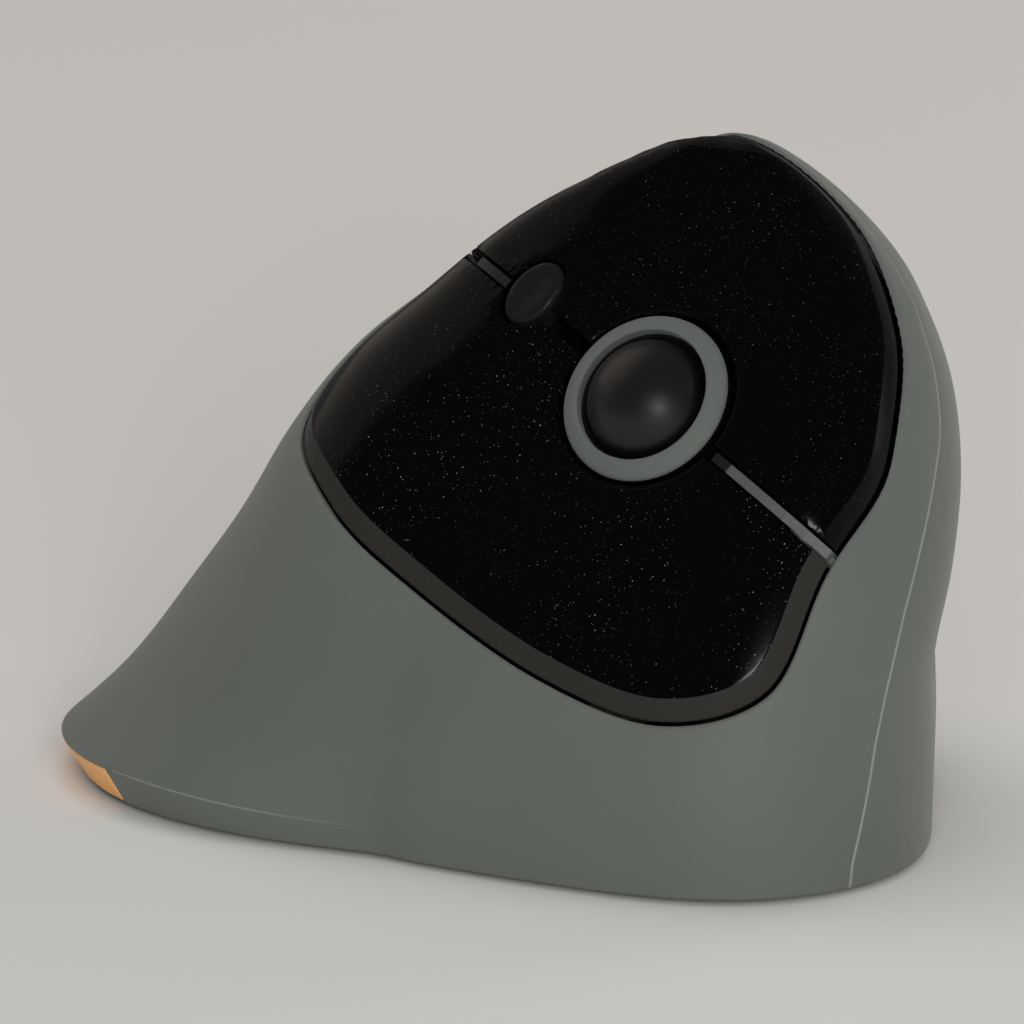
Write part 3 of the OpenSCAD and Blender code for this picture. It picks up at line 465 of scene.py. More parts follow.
# Every CAD node that stays in view takes its finish by name
keptNodes = {
    "base_black": ["base_plate", "battery_door"],
    "frame_grey": ["button_frame", "ball_carrier"],
    "steel": ["support_bearings", "button_pins", "scroll_roller", "side_roller", "base_screws", "frame_screws",
              "board_screws"],
    "board_green": ["switch_board", "main_board", "side_board"],
    "switch_black": ["microswitches", "tact_switch", "side_switches", "optical_sensor", "power_switch",
                     "power_slider"],
    "clear_lens": ["sensor_lens"],
    "cell_can": ["battery"],
    "contact_brass": ["battery_spring", "battery_contact"],
    "foot_black": ["glide_feet"],
    "plunger_red": ["upper_plunger", "lower_plunger"]}
for finish, names in keptNodes.items():
    for name in names:
        for place in frame["nodes"][name].material_slots:
            place.material = finishes[finish]
# The upper button's copy has fewer flecks, and its edge band is painted near black as shade, against the lower
# button's band painted lighter as reflection
upperShadedBandBlack = glossPanel("glossBlackUpperShadedBand", 0.4, (9, 9, 9), 0.3)
ovalBlack = glossPanel("glossBlackOval", 0.2, (26, 24, 23), 0.25)
# Painted shade: a near-black finish for the faces of the ring that lie in shade
shadow = plastic("ringShade", tone(7, 7, 7), 0.5, grain=2400, specular=0.2)
print("finishes made:", len(finishes))


def within(points):
    turn, away, height = aroundMiddle(points)
    z = np.clip(height, 0, topZ)
    r = domeAt(z) * sectionRadius(np.degrees(turn), z, body["creaseSoft"])
    return (away < r) & (height > 0) & (height < topZ)


# Where lines that leave the drawing along its outward direction meet the skin, found by halving
def onSkin(frameOf, flat, low=-22.0, high=4.0):
    start = frameOf["origin"] + flat[:, :1] * frameOf["x"] + flat[:, 1:] * frameOf["y"]
    low, high = np.full(len(flat), low), np.full(len(flat), high)
    for _ in range(26):
        middle = (low + high) / 2
        inside = within(start + middle[:, None] * frameOf["out"])
        low, high = np.where(inside, middle, low), np.where(inside, high, middle)
    return start + ((low + high) / 2)[:, None] * frameOf["out"]


def inFrame(frameOf, points):
    away = points - frameOf["origin"]
    return np.stack([away @ frameOf["x"], away @ frameOf["y"]], 1), away @ frameOf["out"]


# Outlines of what is let into the body, in those frames. The slit is a hairline behind slitEnd.
buttons = {"width": 64, "length": 70, "gap": 0.4, "slit": 1.8, "slitEnd": -32, "hairline": 0.2,
           "ringHole": 10.35, "ovalAt": (-1, -20), "ovalLength": 8.2, "ovalWidth": 5.8, "ovalGap": 0.35,
           "wall": 2.0, "edgeRound": 0.22, "slitRound": 0.25, "ringRound": 0.12, "bandDrop": 0.75,
           "bandSoft": 0.04, "lift": 0.5, "ringChamfer": 0.6, "ringDrop": 0.4, "ringSoft": 0.1, "deepest": -21}
outlinePoints = np.array([[31.6, -22], [32.4, -6], [30.8, 12], [26, 26], [16, 32.4], [2, 28.4], [-12, 24],
                          [-24, 13.5], [-30.4, -1.5], [-28.6, -16], [-14.3, -27.6], [5.7, -35], [25, -36]])
sideButtons = {"length": 13.5, "height": 6.4, "split": 1.4, "round": 1.6, "gap": 0.3, "proud": 0.35,
               "edgeRound": 0.9, "wall": 2.0, "deepest": -9.0}
inlay = {"span": 34, "low": 0.35, "belowCrease": 0.25, "radius": 60, "gap": 0.12, "depth": 1.3,
         "edgeRound": 0.15}
seamPoints = np.array([[-9, -1], [-9.6, 3.5], [-13.5, 16], [-19, 29], [-25.3, 41], [-28.3, 47], [-30.1, 54],
                       [-30.6, 60], [-30, 68], [-29.6, 74], [-29.5, 90]])


def buttonOutline(grow, steps=20):
    n = len(outlinePoints)
    t = np.arange(steps)[:, None] / steps
    spans = []
    for i in range(n):
        a, b, c, d = (outlinePoints[(i + k) % n] for k in (-1, 0, 1, 2))
        spans.append(0.5 * (2 * b + (c - a) * t + (2 * a - 5 * b + 4 * c - d) * t ** 2
                            + (3 * b - a - 3 * c + d) * t ** 3))
    return np.concatenate(spans) * [(buttons[key] + 2 * grow) / buttons[key] for key in ("width", "length")]


def ellipse(middle, halfX, halfY, count=240):
    a = np.arange(count) * 2 * np.pi / count
    return np.stack([middle[0] + halfX * np.cos(a), middle[1] + halfY * np.sin(a)], 1)


def sideLoop(side, grow, count=24):
    middle = side * (sideButtons["length"] + sideButtons["split"]) / 2
    length, height, corner = (sideButtons[key] + grow * n for key, n in (("length", 2), ("height", 2), ("round", 1)))
    a = np.arange(count) / (count - 1) * np.pi / 2
    loop = []
    for k, (sx, sy) in enumerate([(1, 1), (-1, 1), (-1, -1), (1, -1)]):
        centre = np.array([sx * (height / 2 - corner), middle + sy * (length / 2 - corner)])
        turn = a + k * np.pi / 2
        loop.append(centre + corner * np.stack([np.cos(turn), np.sin(turn)], 1))
    return np.concatenate(loop)


def insidePolygon(points, polygon):
    x, y = points[:, 0], points[:, 1]
    result = np.zeros(len(points), bool)
    following = np.roll(polygon, -1, axis=0)
    for (x0, y0), (x1, y1) in zip(polygon, following):
        if y0 != y1:
            crosses = (y0 > y) != (y1 > y)
            result ^= crosses & (x < x0 + (y - y0) * (x1 - x0) / (y1 - y0))
    return result


def evenly(points, spacing, closed=True):
    if closed:
        points = np.concatenate([points, points[:1]])
    along = np.concatenate([[0], np.cumsum(np.linalg.norm(np.diff(points, axis=0), axis=1))])
    count = max(3, int(round(along[-1] / spacing)))
    at = np.linspace(0, along[-1], count + 1)
    even = np.stack([np.interp(at, along, points[:, k]) for k in range(3)], 1)
    return even[:-1] if closed else even


def seamX(z):
    return np.interp(z, seamPoints[:, 1], seamPoints[:, 0])


# The seam is met by lines that fan out from a place on the thumb side, in the disc
def seamCurve():
    start = np.array([-46.0, -8.0])
    turn = np.radians(np.linspace(-75, 75, 700))
    way = np.stack([np.cos(turn), np.sin(turn)], 1)
    low, high = np.zeros(len(turn)), np.full(len(turn), 120.0)
    for _ in range(30):
        middle = (low + high) / 2
        flat = start + way * middle[:, None]
        points = fromDisc(flat)
        inside = (points[:, 0] < seamX(points[:, 2])) & (np.hypot(flat[:, 0], flat[:, 1]) < discRim)
        low, high = np.where(inside, middle, low), np.where(inside, high, middle)
    flat = start + way * low[:, None]
    keep = np.hypot(flat[:, 0], flat[:, 1]) < discRim - 0.01
    first, last = np.argmax(keep), len(keep) - 1 - np.argmax(keep[::-1])
    return fromDisc(flat[max(first - 1, 0):last + 2])


def treeOf(points):
    tree = KDTree(len(points))
    for i, p in enumerate(points):
        tree.insert(p, i)
    tree.balance()
    return tree


# All curves are gathered as points in the disc, then one triangulation carries every piece's edge
class Layout:
    def __init__(self):
        self.flat = []
        self.solid = []
        self.edges = []

    def curve(self, points, closed=True):
        first = len(self.flat)
        self.flat += [tuple(p) for p in toDisc(points)]
        self.solid += [tuple(p) for p in points]
        count = len(points)
        self.edges += [(first + i, first + (i + 1) % count) for i in range(count if closed else count - 1)]

    def dots(self, points, clear):
        tree = treeOf(self.solid)
        for p, q in zip(points, toDisc(points)):
            if tree.find(p)[2] > clear and math.hypot(*q) < discRim - 0.02:
                self.flat.append(tuple(q))
                self.solid.append(tuple(p))


def beside(points, offset, closed=True):
    if closed:
        way = np.roll(points, -1, axis=0) - np.roll(points, 1, axis=0)
    else:
        way = np.gradient(points, axis=0)
    way /= np.linalg.norm(way, axis=1)[:, None]
    side = np.cross(discNormal(toDisc(points)), way)
    return fromDisc(toDisc(points + side * offset))


coarser = 1.0
spacing = {"curve": 0.42 * coarser, "skin": 1.05 * coarser}


def turnsAround(z, dome, row):
    around = np.diff(skinAt(np.arange(0, 360, 3.0), z, dome), axis=0)
    count = max(6, int(np.linalg.norm(around, axis=1).sum() / spacing["skin"]))
    return (np.arange(count) + 0.5 * (row % 2)) * 360 / count


# Dots over the whole skin, row by row: above the crease, below it at shares of its height, on the ridge
def skinDots():
    heights = [0.12, 0.28, 0.5, 0.8, 1.2, 1.75, 2.45, 3.3] + list(np.arange(4.3, topZ - 18.6, spacing["skin"]))
    arcSteps = int(24 / spacing["skin"])
    points = []
    for k, height in enumerate(heights + [0.0, -0.12, -0.3, -0.55, -0.8]):
        turn = turnsAround(max(height, 0.5), 1.0, k)
        low = creaseZ(turn)
        z = low + height * (body["domeZ"] - low) / body["domeZ"] if height >= 0 else low * (1 + height)
        points.append(skinAt(turn, z))
    for k, a in enumerate(np.arange(1, arcSteps) * math.pi / 2 / arcSteps):
        z = body["domeZ"] + (topZ - body["domeZ"]) * math.sin(a)
        points.append(skinAt(turnsAround(z, math.cos(a), k), z, math.cos(a)))
    return np.concatenate(points)


curves = {}
ovalHole = [buttons[key] / 2 + buttons["ovalGap"] for key in ("ovalLength", "ovalWidth")]
for name, flat in (("outline", buttonOutline(0)), ("opening", buttonOutline(buttons["gap"])),
                   ("ringHole", ellipse((0, 0), buttons["ringHole"], buttons["ringHole"])),
                   ("ovalHole", ellipse(buttons["ovalAt"], *ovalHole))):
    curves[name] = evenly(onSkin(panel, flat), spacing["curve"])


def slitHalf(y):
    return np.where(y > buttons["slitEnd"], buttons["slit"] / 2, buttons["hairline"] / 2)


slitLine = np.sort(np.concatenate([np.linspace(-41, 36, 500), buttons["slitEnd"] + np.array([-0.01, 0.01])]))
for name, side in (("slitUpper", -1), ("slitLower", 1)):
    line = np.stack([side * slitHalf(slitLine), slitLine], 1)
    line = line[insidePolygon(line, buttonOutline(0.15))]
    curves[name] = evenly(onSkin(panel, line), spacing["curve"], closed=False)
curves["seam"] = evenly(seamCurve(), spacing["curve"], closed=False)
for name, side in (("forward", -1), ("back", 1)):
    for suffix, grow in (("", 0), ("Hole", sideButtons["gap"])):
        reached = onSkin(thumb, sideLoop(side, grow), sideButtons["deepest"], 5.0)
        curves[name + suffix] = evenly(reached, spacing["curve"] * 0.8)


def inlayLoop(grow):
    half = inlay["span"] / 2 + math.degrees(grow / inlay["radius"])
    turn = np.linspace(body["flangeTurn"] - half, body["flangeTurn"] + half, 200)
    high = creaseZ(turn) - inlay["belowCrease"] + grow
    low = np.full(200, inlay["low"] - grow)
    rise = np.linspace(0, 1, 24)[1:-1]
    parts = [(turn, low), (np.full(22, turn[-1]), low[-1] + (high[-1] - low[-1]) * rise), (turn[::-1], high[::-1]),
             (np.full(22, turn[0]), high[0] + (low[0] - high[0]) * rise)]
    return np.concatenate([skinAt(t, z) for t, z in parts])


curves["inlay"] = evenly(inlayLoop(0), spacing["curve"] * 0.7)
curves["inlayHole"] = evenly(inlayLoop(inlay["gap"]), spacing["curve"] * 0.7)
creaseTurn = np.arange(body["flangeTurn"] + inlay["span"] / 2 + 1.5, 46, 0.4)
curves["crease"] = skinAt(creaseTurn, creaseZ(creaseTurn))
rimTurn = np.arange(0, 360, 0.4)
curves["foot"] = evenly(skinAt(rimTurn, 0.0), spacing["curve"] * 1.6)

# Rows of points beside each curve, at these distances to its left, carry the rounded edges
layout = Layout()
openCurves = ("slitUpper", "slitLower", "seam", "crease")
rows = {"outline": (0.03, 0.1, 0.22, 1.2, 2.2, 2.35, 2.42, 2.5, 2.58, 2.65, 2.8),
        "opening": (-0.06, -0.2, -0.4, -0.8), "ovalHole": (-0.05, -0.15, -0.3),
        "ringHole": (-0.05, -0.12, -0.35, -0.55, -0.6, -0.65, -0.75),
        "slitUpper": (-0.04, -0.12, -0.25), "slitLower": (0.04, 0.12, 0.25),
        "seam": (-0.3, -0.12, -0.04, 0.04, 0.12, 0.3), "forward": (0.1, 0.3, 0.6, 0.9), "back": (0.1, 0.3, 0.6, 0.9),
        "forwardHole": (-0.1, -0.3), "backHole": (-0.1, -0.3), "inlay": (0.05, 0.15), "inlayHole": (-0.05, -0.15),
        "crease": (-0.3, -0.15, -0.07, 0.07, 0.15, 0.3), "foot": ()}
for name, points in curves.items():
    layout.curve(points, name not in openCurves)
for name, offsets in rows.items():
    closed = name not in openCurves
    for offset in offsets:
        nearest = min(abs(offset - other) for other in offsets + (0,) if other != offset)
        if name == "outline" and offset == gloss["bandWidth"]:
            layout.curve(beside(curves[name], offset))
        else:
            layout.dots(beside(curves[name], offset, closed), min(0.12, 0.7 * nearest))
for z in (0.05, 0.15, 0.3):
    layout.dots(skinAt(rimTurn, z), 0.04)
ledgeTurn = np.arange(ledge["from"], ledge["to"], 0.7)
for z in ledge["z"] + np.array([-0.9, -0.6, -0.35, -0.15, 0, 0.15, 0.35, 0.6, 0.9]):
    layout.dots(skinAt(ledgeTurn, z), 0.08)
layout.dots(skinDots(), spacing["skin"] * 0.5)
print("layout points:", len(layout.flat))

flatVerts, _, flatFaces, _, _, _ = delaunay_2d_cdt([Vector(p) for p in layout.flat], layout.edges, [], 0, 1e-6)
skinFlat = np.array([tuple(v) for v in flatVerts])
skinFaces = np.array(flatFaces)
skinPoints = fromDisc(skinFlat)
skinNormals = discNormal(skinFlat)
print("skin triangles:", len(skinFaces))


def sortFaces():
    middle = skinFlat[skinFaces].mean(axis=1)
    points = fromDisc(middle)
    onPanel, panelDepth = inFrame(panel, points)
    onThumb, thumbDepth = inFrame(thumb, points)
    turn, z, _ = turnAndZ(middle)
    label = np.where(points[:, 0] < seamX(points[:, 2]), "thumb_shell", "grip_shell").astype(object)
    fingerSide = panelDepth > buttons["deepest"]
    label[fingerSide & insidePolygon(onPanel, buttonOutline(buttons["gap"]))] = "none"
    button = fingerSide & insidePolygon(onPanel, buttonOutline(0))
    button &= np.abs(onPanel[:, 0]) > slitHalf(onPanel[:, 1])
    button &= np.hypot(onPanel[:, 0], onPanel[:, 1]) > buttons["ringHole"]
    button &= (((onPanel - buttons["ovalAt"]) / ovalHole) ** 2).sum(axis=1) > 1
    label[button & (onPanel[:, 0] < 0)] = "upper_button"
    label[button & (onPanel[:, 0] > 0)] = "lower_button"
    for name, side in (("forward", -1), ("back", 1)):
        for grow, word in ((sideButtons["gap"], "none"), (0, name + "_button")):
            hit = insidePolygon(onThumb, sideLoop(side, grow))
            label[hit & (thumbDepth > sideButtons["deepest"])] = word
    for grow, word in ((inlay["gap"], "none"), (0, "accent_strip")):
        half = inlay["span"] / 2 + math.degrees(grow / inlay["radius"])
        hit = np.abs(turnBetween(turn, body["flangeTurn"])) < half
        hit &= (z > inlay["low"] - grow) & (z < creaseZ(turn) - inlay["belowCrease"] + grow)
        label[hit] = word
    return label


faceLabel = sortFaces()
print({name: int((faceLabel == name).sum()) for name in sorted(set(faceLabel))})


def distanceTo(points, names):
    tree = treeOf(np.concatenate([evenly(curves[name], 0.09, name not in openCurves) for name in names]))
    return np.array([tree.find(p)[2] for p in points])


def roundOver(distance, radius):
    short = np.clip(radius - distance, 0, radius)
    return radius - np.sqrt(radius ** 2 - short ** 2)


def smoothFaces(mesh, sharpAngle=math.radians(38)):
    mesh.polygons.foreach_set("use_smooth", [True] * len(mesh.polygons))
    mesh.set_sharp_from_angle(angle=sharpAngle)


def makeMesh(name, verts, faces, material):
    mesh = bpy.data.meshes.new(name)
    mesh.from_pydata([tuple(v) for v in np.asarray(verts) * mm], [], [tuple(int(i) for i in f) for f in faces])
    mesh.materials.append(material)
    smoothFaces(mesh)
    mesh.update()
    return addObject(name, mesh)


def setEdgeDistance(piece, values):
    piece.data.attributes.new("edgeDistance", "FLOAT", "POINT").data.foreach_set("value", values)


def skinPiece(label, name, lowering, wall, finish, bodyName, attribute=None, inward=None):
    chosen = skinFaces[faceLabel == label]
    used, inverse = np.unique(chosen, return_inverse=True)
    faces = inverse.reshape(-1, 3)
    points, normals = skinPoints[used], skinNormals[used]
    outer = points - normals * lowering(points)[:, None]
    inner = points - (normals if inward is None else inward(points, normals)) * wall
    count = len(used)
    edges = np.concatenate([faces[:, [0, 1]], faces[:, [1, 2]], faces[:, [2, 0]]])
    forward = edges[:, 0] * count + edges[:, 1]
    backward = edges[:, 1] * count + edges[:, 0]
    border = edges[~np.isin(forward, backward)]
    walls = np.stack([border[:, 1], border[:, 0], border[:, 0] + count, border[:, 1] + count], 1)
    allFaces = faces.tolist() + (faces[:, ::-1] + count).tolist() + walls.tolist()
    piece = makeMesh(name, np.concatenate([outer, inner]), allFaces, finishes[finish])
    if attribute is not None:
        setEdgeDistance(piece, np.tile(attribute(points), 2).astype(np.float32))
    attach(piece, bodyName)
    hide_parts(label)
    return piece


# How far in each of the shells' edges is rounded
shellRound = {"opening": 0.4, "seam": 0.28, "forwardHole": 0.3, "backHole": 0.3, "inlayHole": 0.15}
footRound = 0.3


def shellEdge(points):
    low = roundOver(points[:, 2] - body["footHeight"], footRound)
    for name, radius in shellRound.items():
        low = np.maximum(low, roundOver(distanceTo(points, [name]), radius))
    return low


def softRise(share, soft):
    return soft * np.logaddexp(0, share / soft)


def buttonEdge(points):
    edge = distanceTo(points, ["outline"])
    low = roundOver(edge, buttons["edgeRound"])
    low += buttons["bandDrop"] * softRise(1 - edge / gloss["bandWidth"], buttons["bandSoft"])
    hole = distanceTo(points, ["ringHole"])
    chamfer = buttons["ringDrop"] * softRise(1 - hole / buttons["ringChamfer"], buttons["ringSoft"])
    low = np.maximum(low, roundOver(hole, buttons["ringRound"]) + chamfer)
    slit = distanceTo(points, ["slitUpper", "slitLower", "ovalHole"])
    return np.maximum(low, roundOver(slit, buttons["slitRound"])) - buttons["lift"]


def sideEdge(points):
    edge = distanceTo(points, ["forward", "back"])
    return roundOver(edge, sideButtons["edgeRound"]) - sideButtons["proud"]


# Round the opening the shell's wall runs the way the buttons move, so that a pressed button stays clear
def alongPress(points, normals, reach=5):
    near = np.clip(1 - distanceTo(points, ["opening"]) / reach, 0, 1)[:, None]
    near = near * near * (3 - 2 * near)
    way = normals * (1 - near) + panel["out"] * near
    return way / np.linalg.norm(way, axis=1)[:, None]


# A painted highlight: the pale line along the seam and the crease, which fades towards the nose
def highlightLineDistance(points):
    raw = unplaced(points)
    fade = np.clip((np.degrees(np.arctan2(raw[:, 1] + 3, raw[:, 0] + 7)) - 6) / 40, 0, 1)
    return np.minimum(distanceTo(points, ["seam"]), distanceTo(points, ["crease"]) + 0.1 + 0.2 * fade)


for key in ("grip", "thumb"):
    skinPiece(key + "_shell", key + "Shell", shellEdge, body["wall"], "soft_grey", "housing", highlightLineDistance,
              alongPress)
skinPiece("accent_strip", "rimInlay", lambda p: roundOver(distanceTo(p, ["inlay"]), inlay["edgeRound"]),
          inlay["depth"], "inlay_orange", "housing")
for key in ("upper_button", "lower_button"):
    piece = skinPiece(key, key.split("_")[0] + "Button", buttonEdge, buttons["wall"], "gloss_black", key,
                      lambda p: distanceTo(p, ["outline"]))
    if key == "upper_button":
        piece.data.materials[0] = upperShadedBandBlack
for key in ("forward_button", "back_button"):
    skinPiece(key, key.split("_")[0] + "Button", sideEdge, sideButtons["wall"], "side_grey", key)
print("shells and buttons made")


def panelMatrix():
    axes = [Vector(panel[k]) for k in ("x", "y", "out")]
    turned = Matrix(axes).transposed().to_4x4()
    return Matrix.Translation(Vector(panel["origin"] * mm)) @ turned


# The ring: its section is swept round a circle by a small node tree
ring = {"outer": 9.8, "rim": 0.2, "face": 1.4, "inner": 7.7, "skirt": 7.9, "lip": 7.2, "foot": -2.9,
        "segments": 180, "wallDepth": 1.3, "pathRadius": 0.1}


def ringSection():
    r, top, inner, lip, low = (ring[key] for key in ("outer", "face", "inner", "lip", "rim"))
    points = [(ring["skirt"], ring["foot"]), (r - 0.15, ring["foot"]), (r, ring["foot"] + 0.15),
              (r, low - 0.3), (r, low - 0.22), (r - 0.01, low), (r - 0.05, low + 0.12), (r - 0.14, low + 0.26)]
    slope = np.linspace(0.12, 1, 9)
    points += [(r - (r - inner - 0.2) * t, low + 0.2 + (top - low - 0.2) * (1 - (1 - t) ** 1.5)) for t in slope]
    floor = top - ring["wallDepth"]
    points += [(inner + 0.08, top - 0.03), (inner + 0.02, top - 0.1), (inner, top - 0.2), (inner, floor + 0.3),
               (inner, floor + 0.02), (inner, floor - 0.02), (lip + 0.2, floor - 0.1),
               (lip, floor - 0.3), (lip, floor - 0.7), (lip + 0.12, floor - 0.9), (ring["skirt"], floor - 0.9)]
    return points


# Both node trees end alike: copies become real geometry, which is painted. Links are given as
# node, output, node, input.
def newTree(name, inputs, kinds, links):
    tree = bpy.data.node_groups.new(name, "GeometryNodeTree")
    for label, kind in (("Geometry", "Geometry"), *inputs, ("Finish", "Material")):
        tree.interface.new_socket(name=label, in_out="INPUT", socket_type="NodeSocket" + kind)
    tree.interface.new_socket(name="Geometry", in_out="OUTPUT", socket_type="NodeSocketGeometry")
    nodes = {"entry": tree.nodes.new("NodeGroupInput"), "leave": tree.nodes.new("NodeGroupOutput")}
    for key, kind in (*kinds, ("solid", "RealizeInstances"), ("paint", "SetMaterial")):
        nodes[key] = tree.nodes.new("GeometryNode" + kind)
    for first, output, second, target in (*links, ("solid", "Geometry", "paint", "Geometry"),
                                          ("entry", "Finish", "paint", "Material"),
                                          ("paint", "Geometry", "leave", "Geometry")):
        tree.links.new(nodes[first].outputs[output], nodes[second].inputs[target])
    return tree, nodes


# The sweep turns the section's second axis over and sets it pathRadius further out
def sweepTree():
    tree, nodes = newTree(
        "ringSweep", [("Segments", "Int")],
        [("path", "CurvePrimitiveCircle"), ("outline", "MeshToCurve"), ("sweep", "CurveToMesh")],
        [("entry", "Segments", "path", "Resolution"), ("entry", "Geometry", "outline", "Mesh"),
         ("path", "Curve", "sweep", "Curve"), ("outline", "Curve", "sweep", "Profile Curve"),
         ("sweep", "Mesh", "solid", "Geometry")])
    nodes["path"].mode = "RADIUS"
    nodes["path"].inputs["Radius"].default_value = ring["pathRadius"] * mm
    return tree


def bakeTree(name, mesh, tree, values):
    source = addObject(name + "Source", mesh)
    modifier = source.modifiers.new("nodes", "NODES")
    modifier.node_group = tree
    for item in tree.interface.items_tree:
        if item.name in values:
            modifier[item.identifier] = values[item.name]
    source.update_tag()
    bpy.context.view_layer.update()
    made = bpy.data.meshes.new_from_object(source.evaluated_get(bpy.context.evaluated_depsgraph_get()))
    source.modifiers.remove(modifier)
    bpy.data.objects.remove(source)
    made.name = name
    return addObject(name, made)


def addRing():
    section = ringSection()
    mesh = bpy.data.meshes.new("ringSection")
    count = len(section)
    mesh.from_pydata([((r - ring["pathRadius"]) * mm, -z * mm, 0) for r, z in section],
                     [(i, (i + 1) % count) for i in range(count)], [])
    values = {"Segments": ring["segments"], "Finish": finishes["ring_grey"]}
    piece = bakeTree("retainingRing", mesh, sweepTree(), values)
    piece.data.materials.append(shadow)
    # Painted shade: the inner seat below the ring's visible wall and the outer side below its rim take the
    # near-black shade finish
    for face in piece.data.polygons:
        x, y, z = face.center
        seat = math.hypot(x, y) < (ring["inner"] + 0.2) * mm and z < (ring["face"] - ring["wallDepth"]) * mm
        face.material_index = int(seat or z < (ring["rim"] - 0.25) * mm)
    piece.data.transform(panelMatrix())
    tidyNormals(piece)
    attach(piece, "retaining_ring")
    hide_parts("retaining_ring")


def tidyNormals(piece):
    work = bmesh.new()
    work.from_mesh(piece.data)
    bmesh.ops.remove_doubles(work, verts=work.verts, dist=1e-6)
    bmesh.ops.recalc_face_normals(work, faces=work.faces)
    work.to_mesh(piece.data)
    work.free()
    smoothFaces(piece.data)


def flatLoop(flat, z):
    return np.column_stack([flat, np.full(len(flat), z)])


def loopsToMesh(name, loops, material):
    count = len(loops[0])
    last = (len(loops) - 1) * count
    faces = [(k + i, k + (i + 1) % count, k + count + (i + 1) % count, k + count + i)
             for k in range(0, last, count) for i in range(count)]
    faces += [range(count)[::-1], range(last, last + count)]
    return makeMesh(name, np.concatenate(loops), faces, material)


ball = {"radius": 7.5, "sink": 2.4, "pole": 89.4, "loops": 96, "around": 160}


def addBall():
    loops = []
    for a in np.radians(np.linspace(-ball["pole"], ball["pole"], ball["loops"])):
        wide = ball["radius"] * math.cos(a)
        loops.append(flatLoop(ellipse((0, 0), wide, wide, ball["around"]),
                              -ball["sink"] + ball["radius"] * math.sin(a)))
    piece = loopsToMesh("scrollBall", loops, finishes["ball_black"])
    piece.data.transform(panelMatrix())
    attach(piece, "scroll_ball")
    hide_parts("scroll_ball")


oval = {"top": 1.25, "low": -2.2, "edge": 0.75, "dish": 0.22, "stem": 1.6, "stemEnd": -13.1}


def addOval():
    halfX, halfY = buttons["ovalLength"] / 2, buttons["ovalWidth"] / 2
    stem = (-halfX + oval["stem"], -halfY + oval["stem"])
    sections = [(*stem, oval["stemEnd"]), (*stem, oval["low"]), (-0.1, -0.1, oval["low"]),
                (0, 0, oval["low"] + 0.1)]
    for a in np.radians(np.linspace(0, 90, 9)):
        inset = oval["edge"] * (1 - math.cos(a))
        sections.append((-inset, -inset, oval["top"] - oval["edge"] * (1 - math.sin(a))))
    for t in (0.25, 0.5, 0.75, 0.9, 0.985):
        inset = oval["edge"] + (halfY - oval["edge"]) * t
        dish = oval["dish"] * math.sin(t * math.pi / 2) ** 2
        sections.append((-inset * halfX / halfY if t > 0.9 else -inset, -inset, oval["top"] - dish))
    loops = [flatLoop(ellipse(buttons["ovalAt"], max(halfX + growX, 0.05), max(halfY + growY, 0.05), 96), z)
             for growX, growY, z in sections]
    piece = loopsToMesh("ovalButton", loops, ovalBlack)
    setEdgeDistance(piece, [0.0] * len(piece.data.vertices))
    piece.data.transform(panelMatrix())
    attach(piece, "oval_button")
    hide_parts("oval_button")


# A finger of the grip shell that reaches into the front end of the slit
bridge = {"from": 23.2, "to": 34.6, "half": 0.42, "nubAt": 24.8, "nubHalf": 0.9, "nub": 0.25, "drop": 0.6,
          "sinkFrom": 26, "sinkOver": 6, "sink": 0.9, "edge": 0.12, "deep": 2.4, "loops": 40}


def addBridge():
    ys = np.linspace(bridge["from"], bridge["to"], bridge["loops"])
    middle = onSkin(panel, np.column_stack([0 * ys, ys]))
    up = discNormal(toDisc(middle))
    edge = bridge["edge"]
    loops = []
    for y, point, out in zip(ys, middle, up):
        wide = bridge["half"] + bridge["nub"] * math.exp(-((y - bridge["nubAt"]) / bridge["nubHalf"]) ** 2)
        drop = bridge["drop"] + bridge["sink"] * min(1, max(0, (y - bridge["sinkFrom"]) / bridge["sinkOver"]))
        corners = [(-wide, -bridge["deep"]), (-wide, -drop - edge), (-wide + edge, -drop), (wide - edge, -drop),
                   (wide, -drop - edge), (wide, -bridge["deep"])]
        loops.append(np.array([point + panel["x"] * x + out * z for x, z in corners]))
    piece = loopsToMesh("slitBridge", loops, finishes["soft_grey"])
    setEdgeDistance(piece, [9.0] * len(piece.data.vertices))
    tidyNormals(piece)
    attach(piece, "housing")
    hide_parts("grip_shell")


# Screws under the base: one screw is set on each point by a node tree
screws = {"at": [(30, -20.5), (-3, -42), (-6, 45.6), (-34.5, 3), (-28.3, 32.5)],
          "turns": [12, 71, 40, 25, 58], "head": 1.9, "headHeight": 1.2, "shank": 1.0, "length": 8,
          "armLength": 1.15, "armHalf": 0.24, "recess": 0.7}


def screwMesh():
    a = (np.arange(64) + 0.5) * 2 * np.pi / 64
    circle = np.column_stack([np.cos(a), np.sin(a)])
    arm = np.minimum(screws["armHalf"] / np.maximum(np.abs(circle), 1e-6), screws["armLength"]).max(axis=1)
    cross = arm[:, None] * circle
    head, shank, high = screws["head"], screws["shank"], screws["headHeight"]
    levels = [(0.15, screws["length"]), (shank * 0.7, screws["length"] - 0.1), (shank, screws["length"] - 0.6),
              (shank, 0), (head - 0.1, 0), (head, -0.1), (head, -high + 0.35), (head - 0.1, -high + 0.15),
              (head - 0.3, -high + 0.03), (head - 0.5, -high)]
    loops = [flatLoop(r * circle, z) for r, z in levels]
    for share, deep in ((1.0, 0), (0.97, 0.05), (0.85, screws["recess"]), (0.05, screws["recess"])):
        loops.append(flatLoop(share * cross, -high + deep))
    return loopsToMesh("screwSource", loops, finishes["steel"])


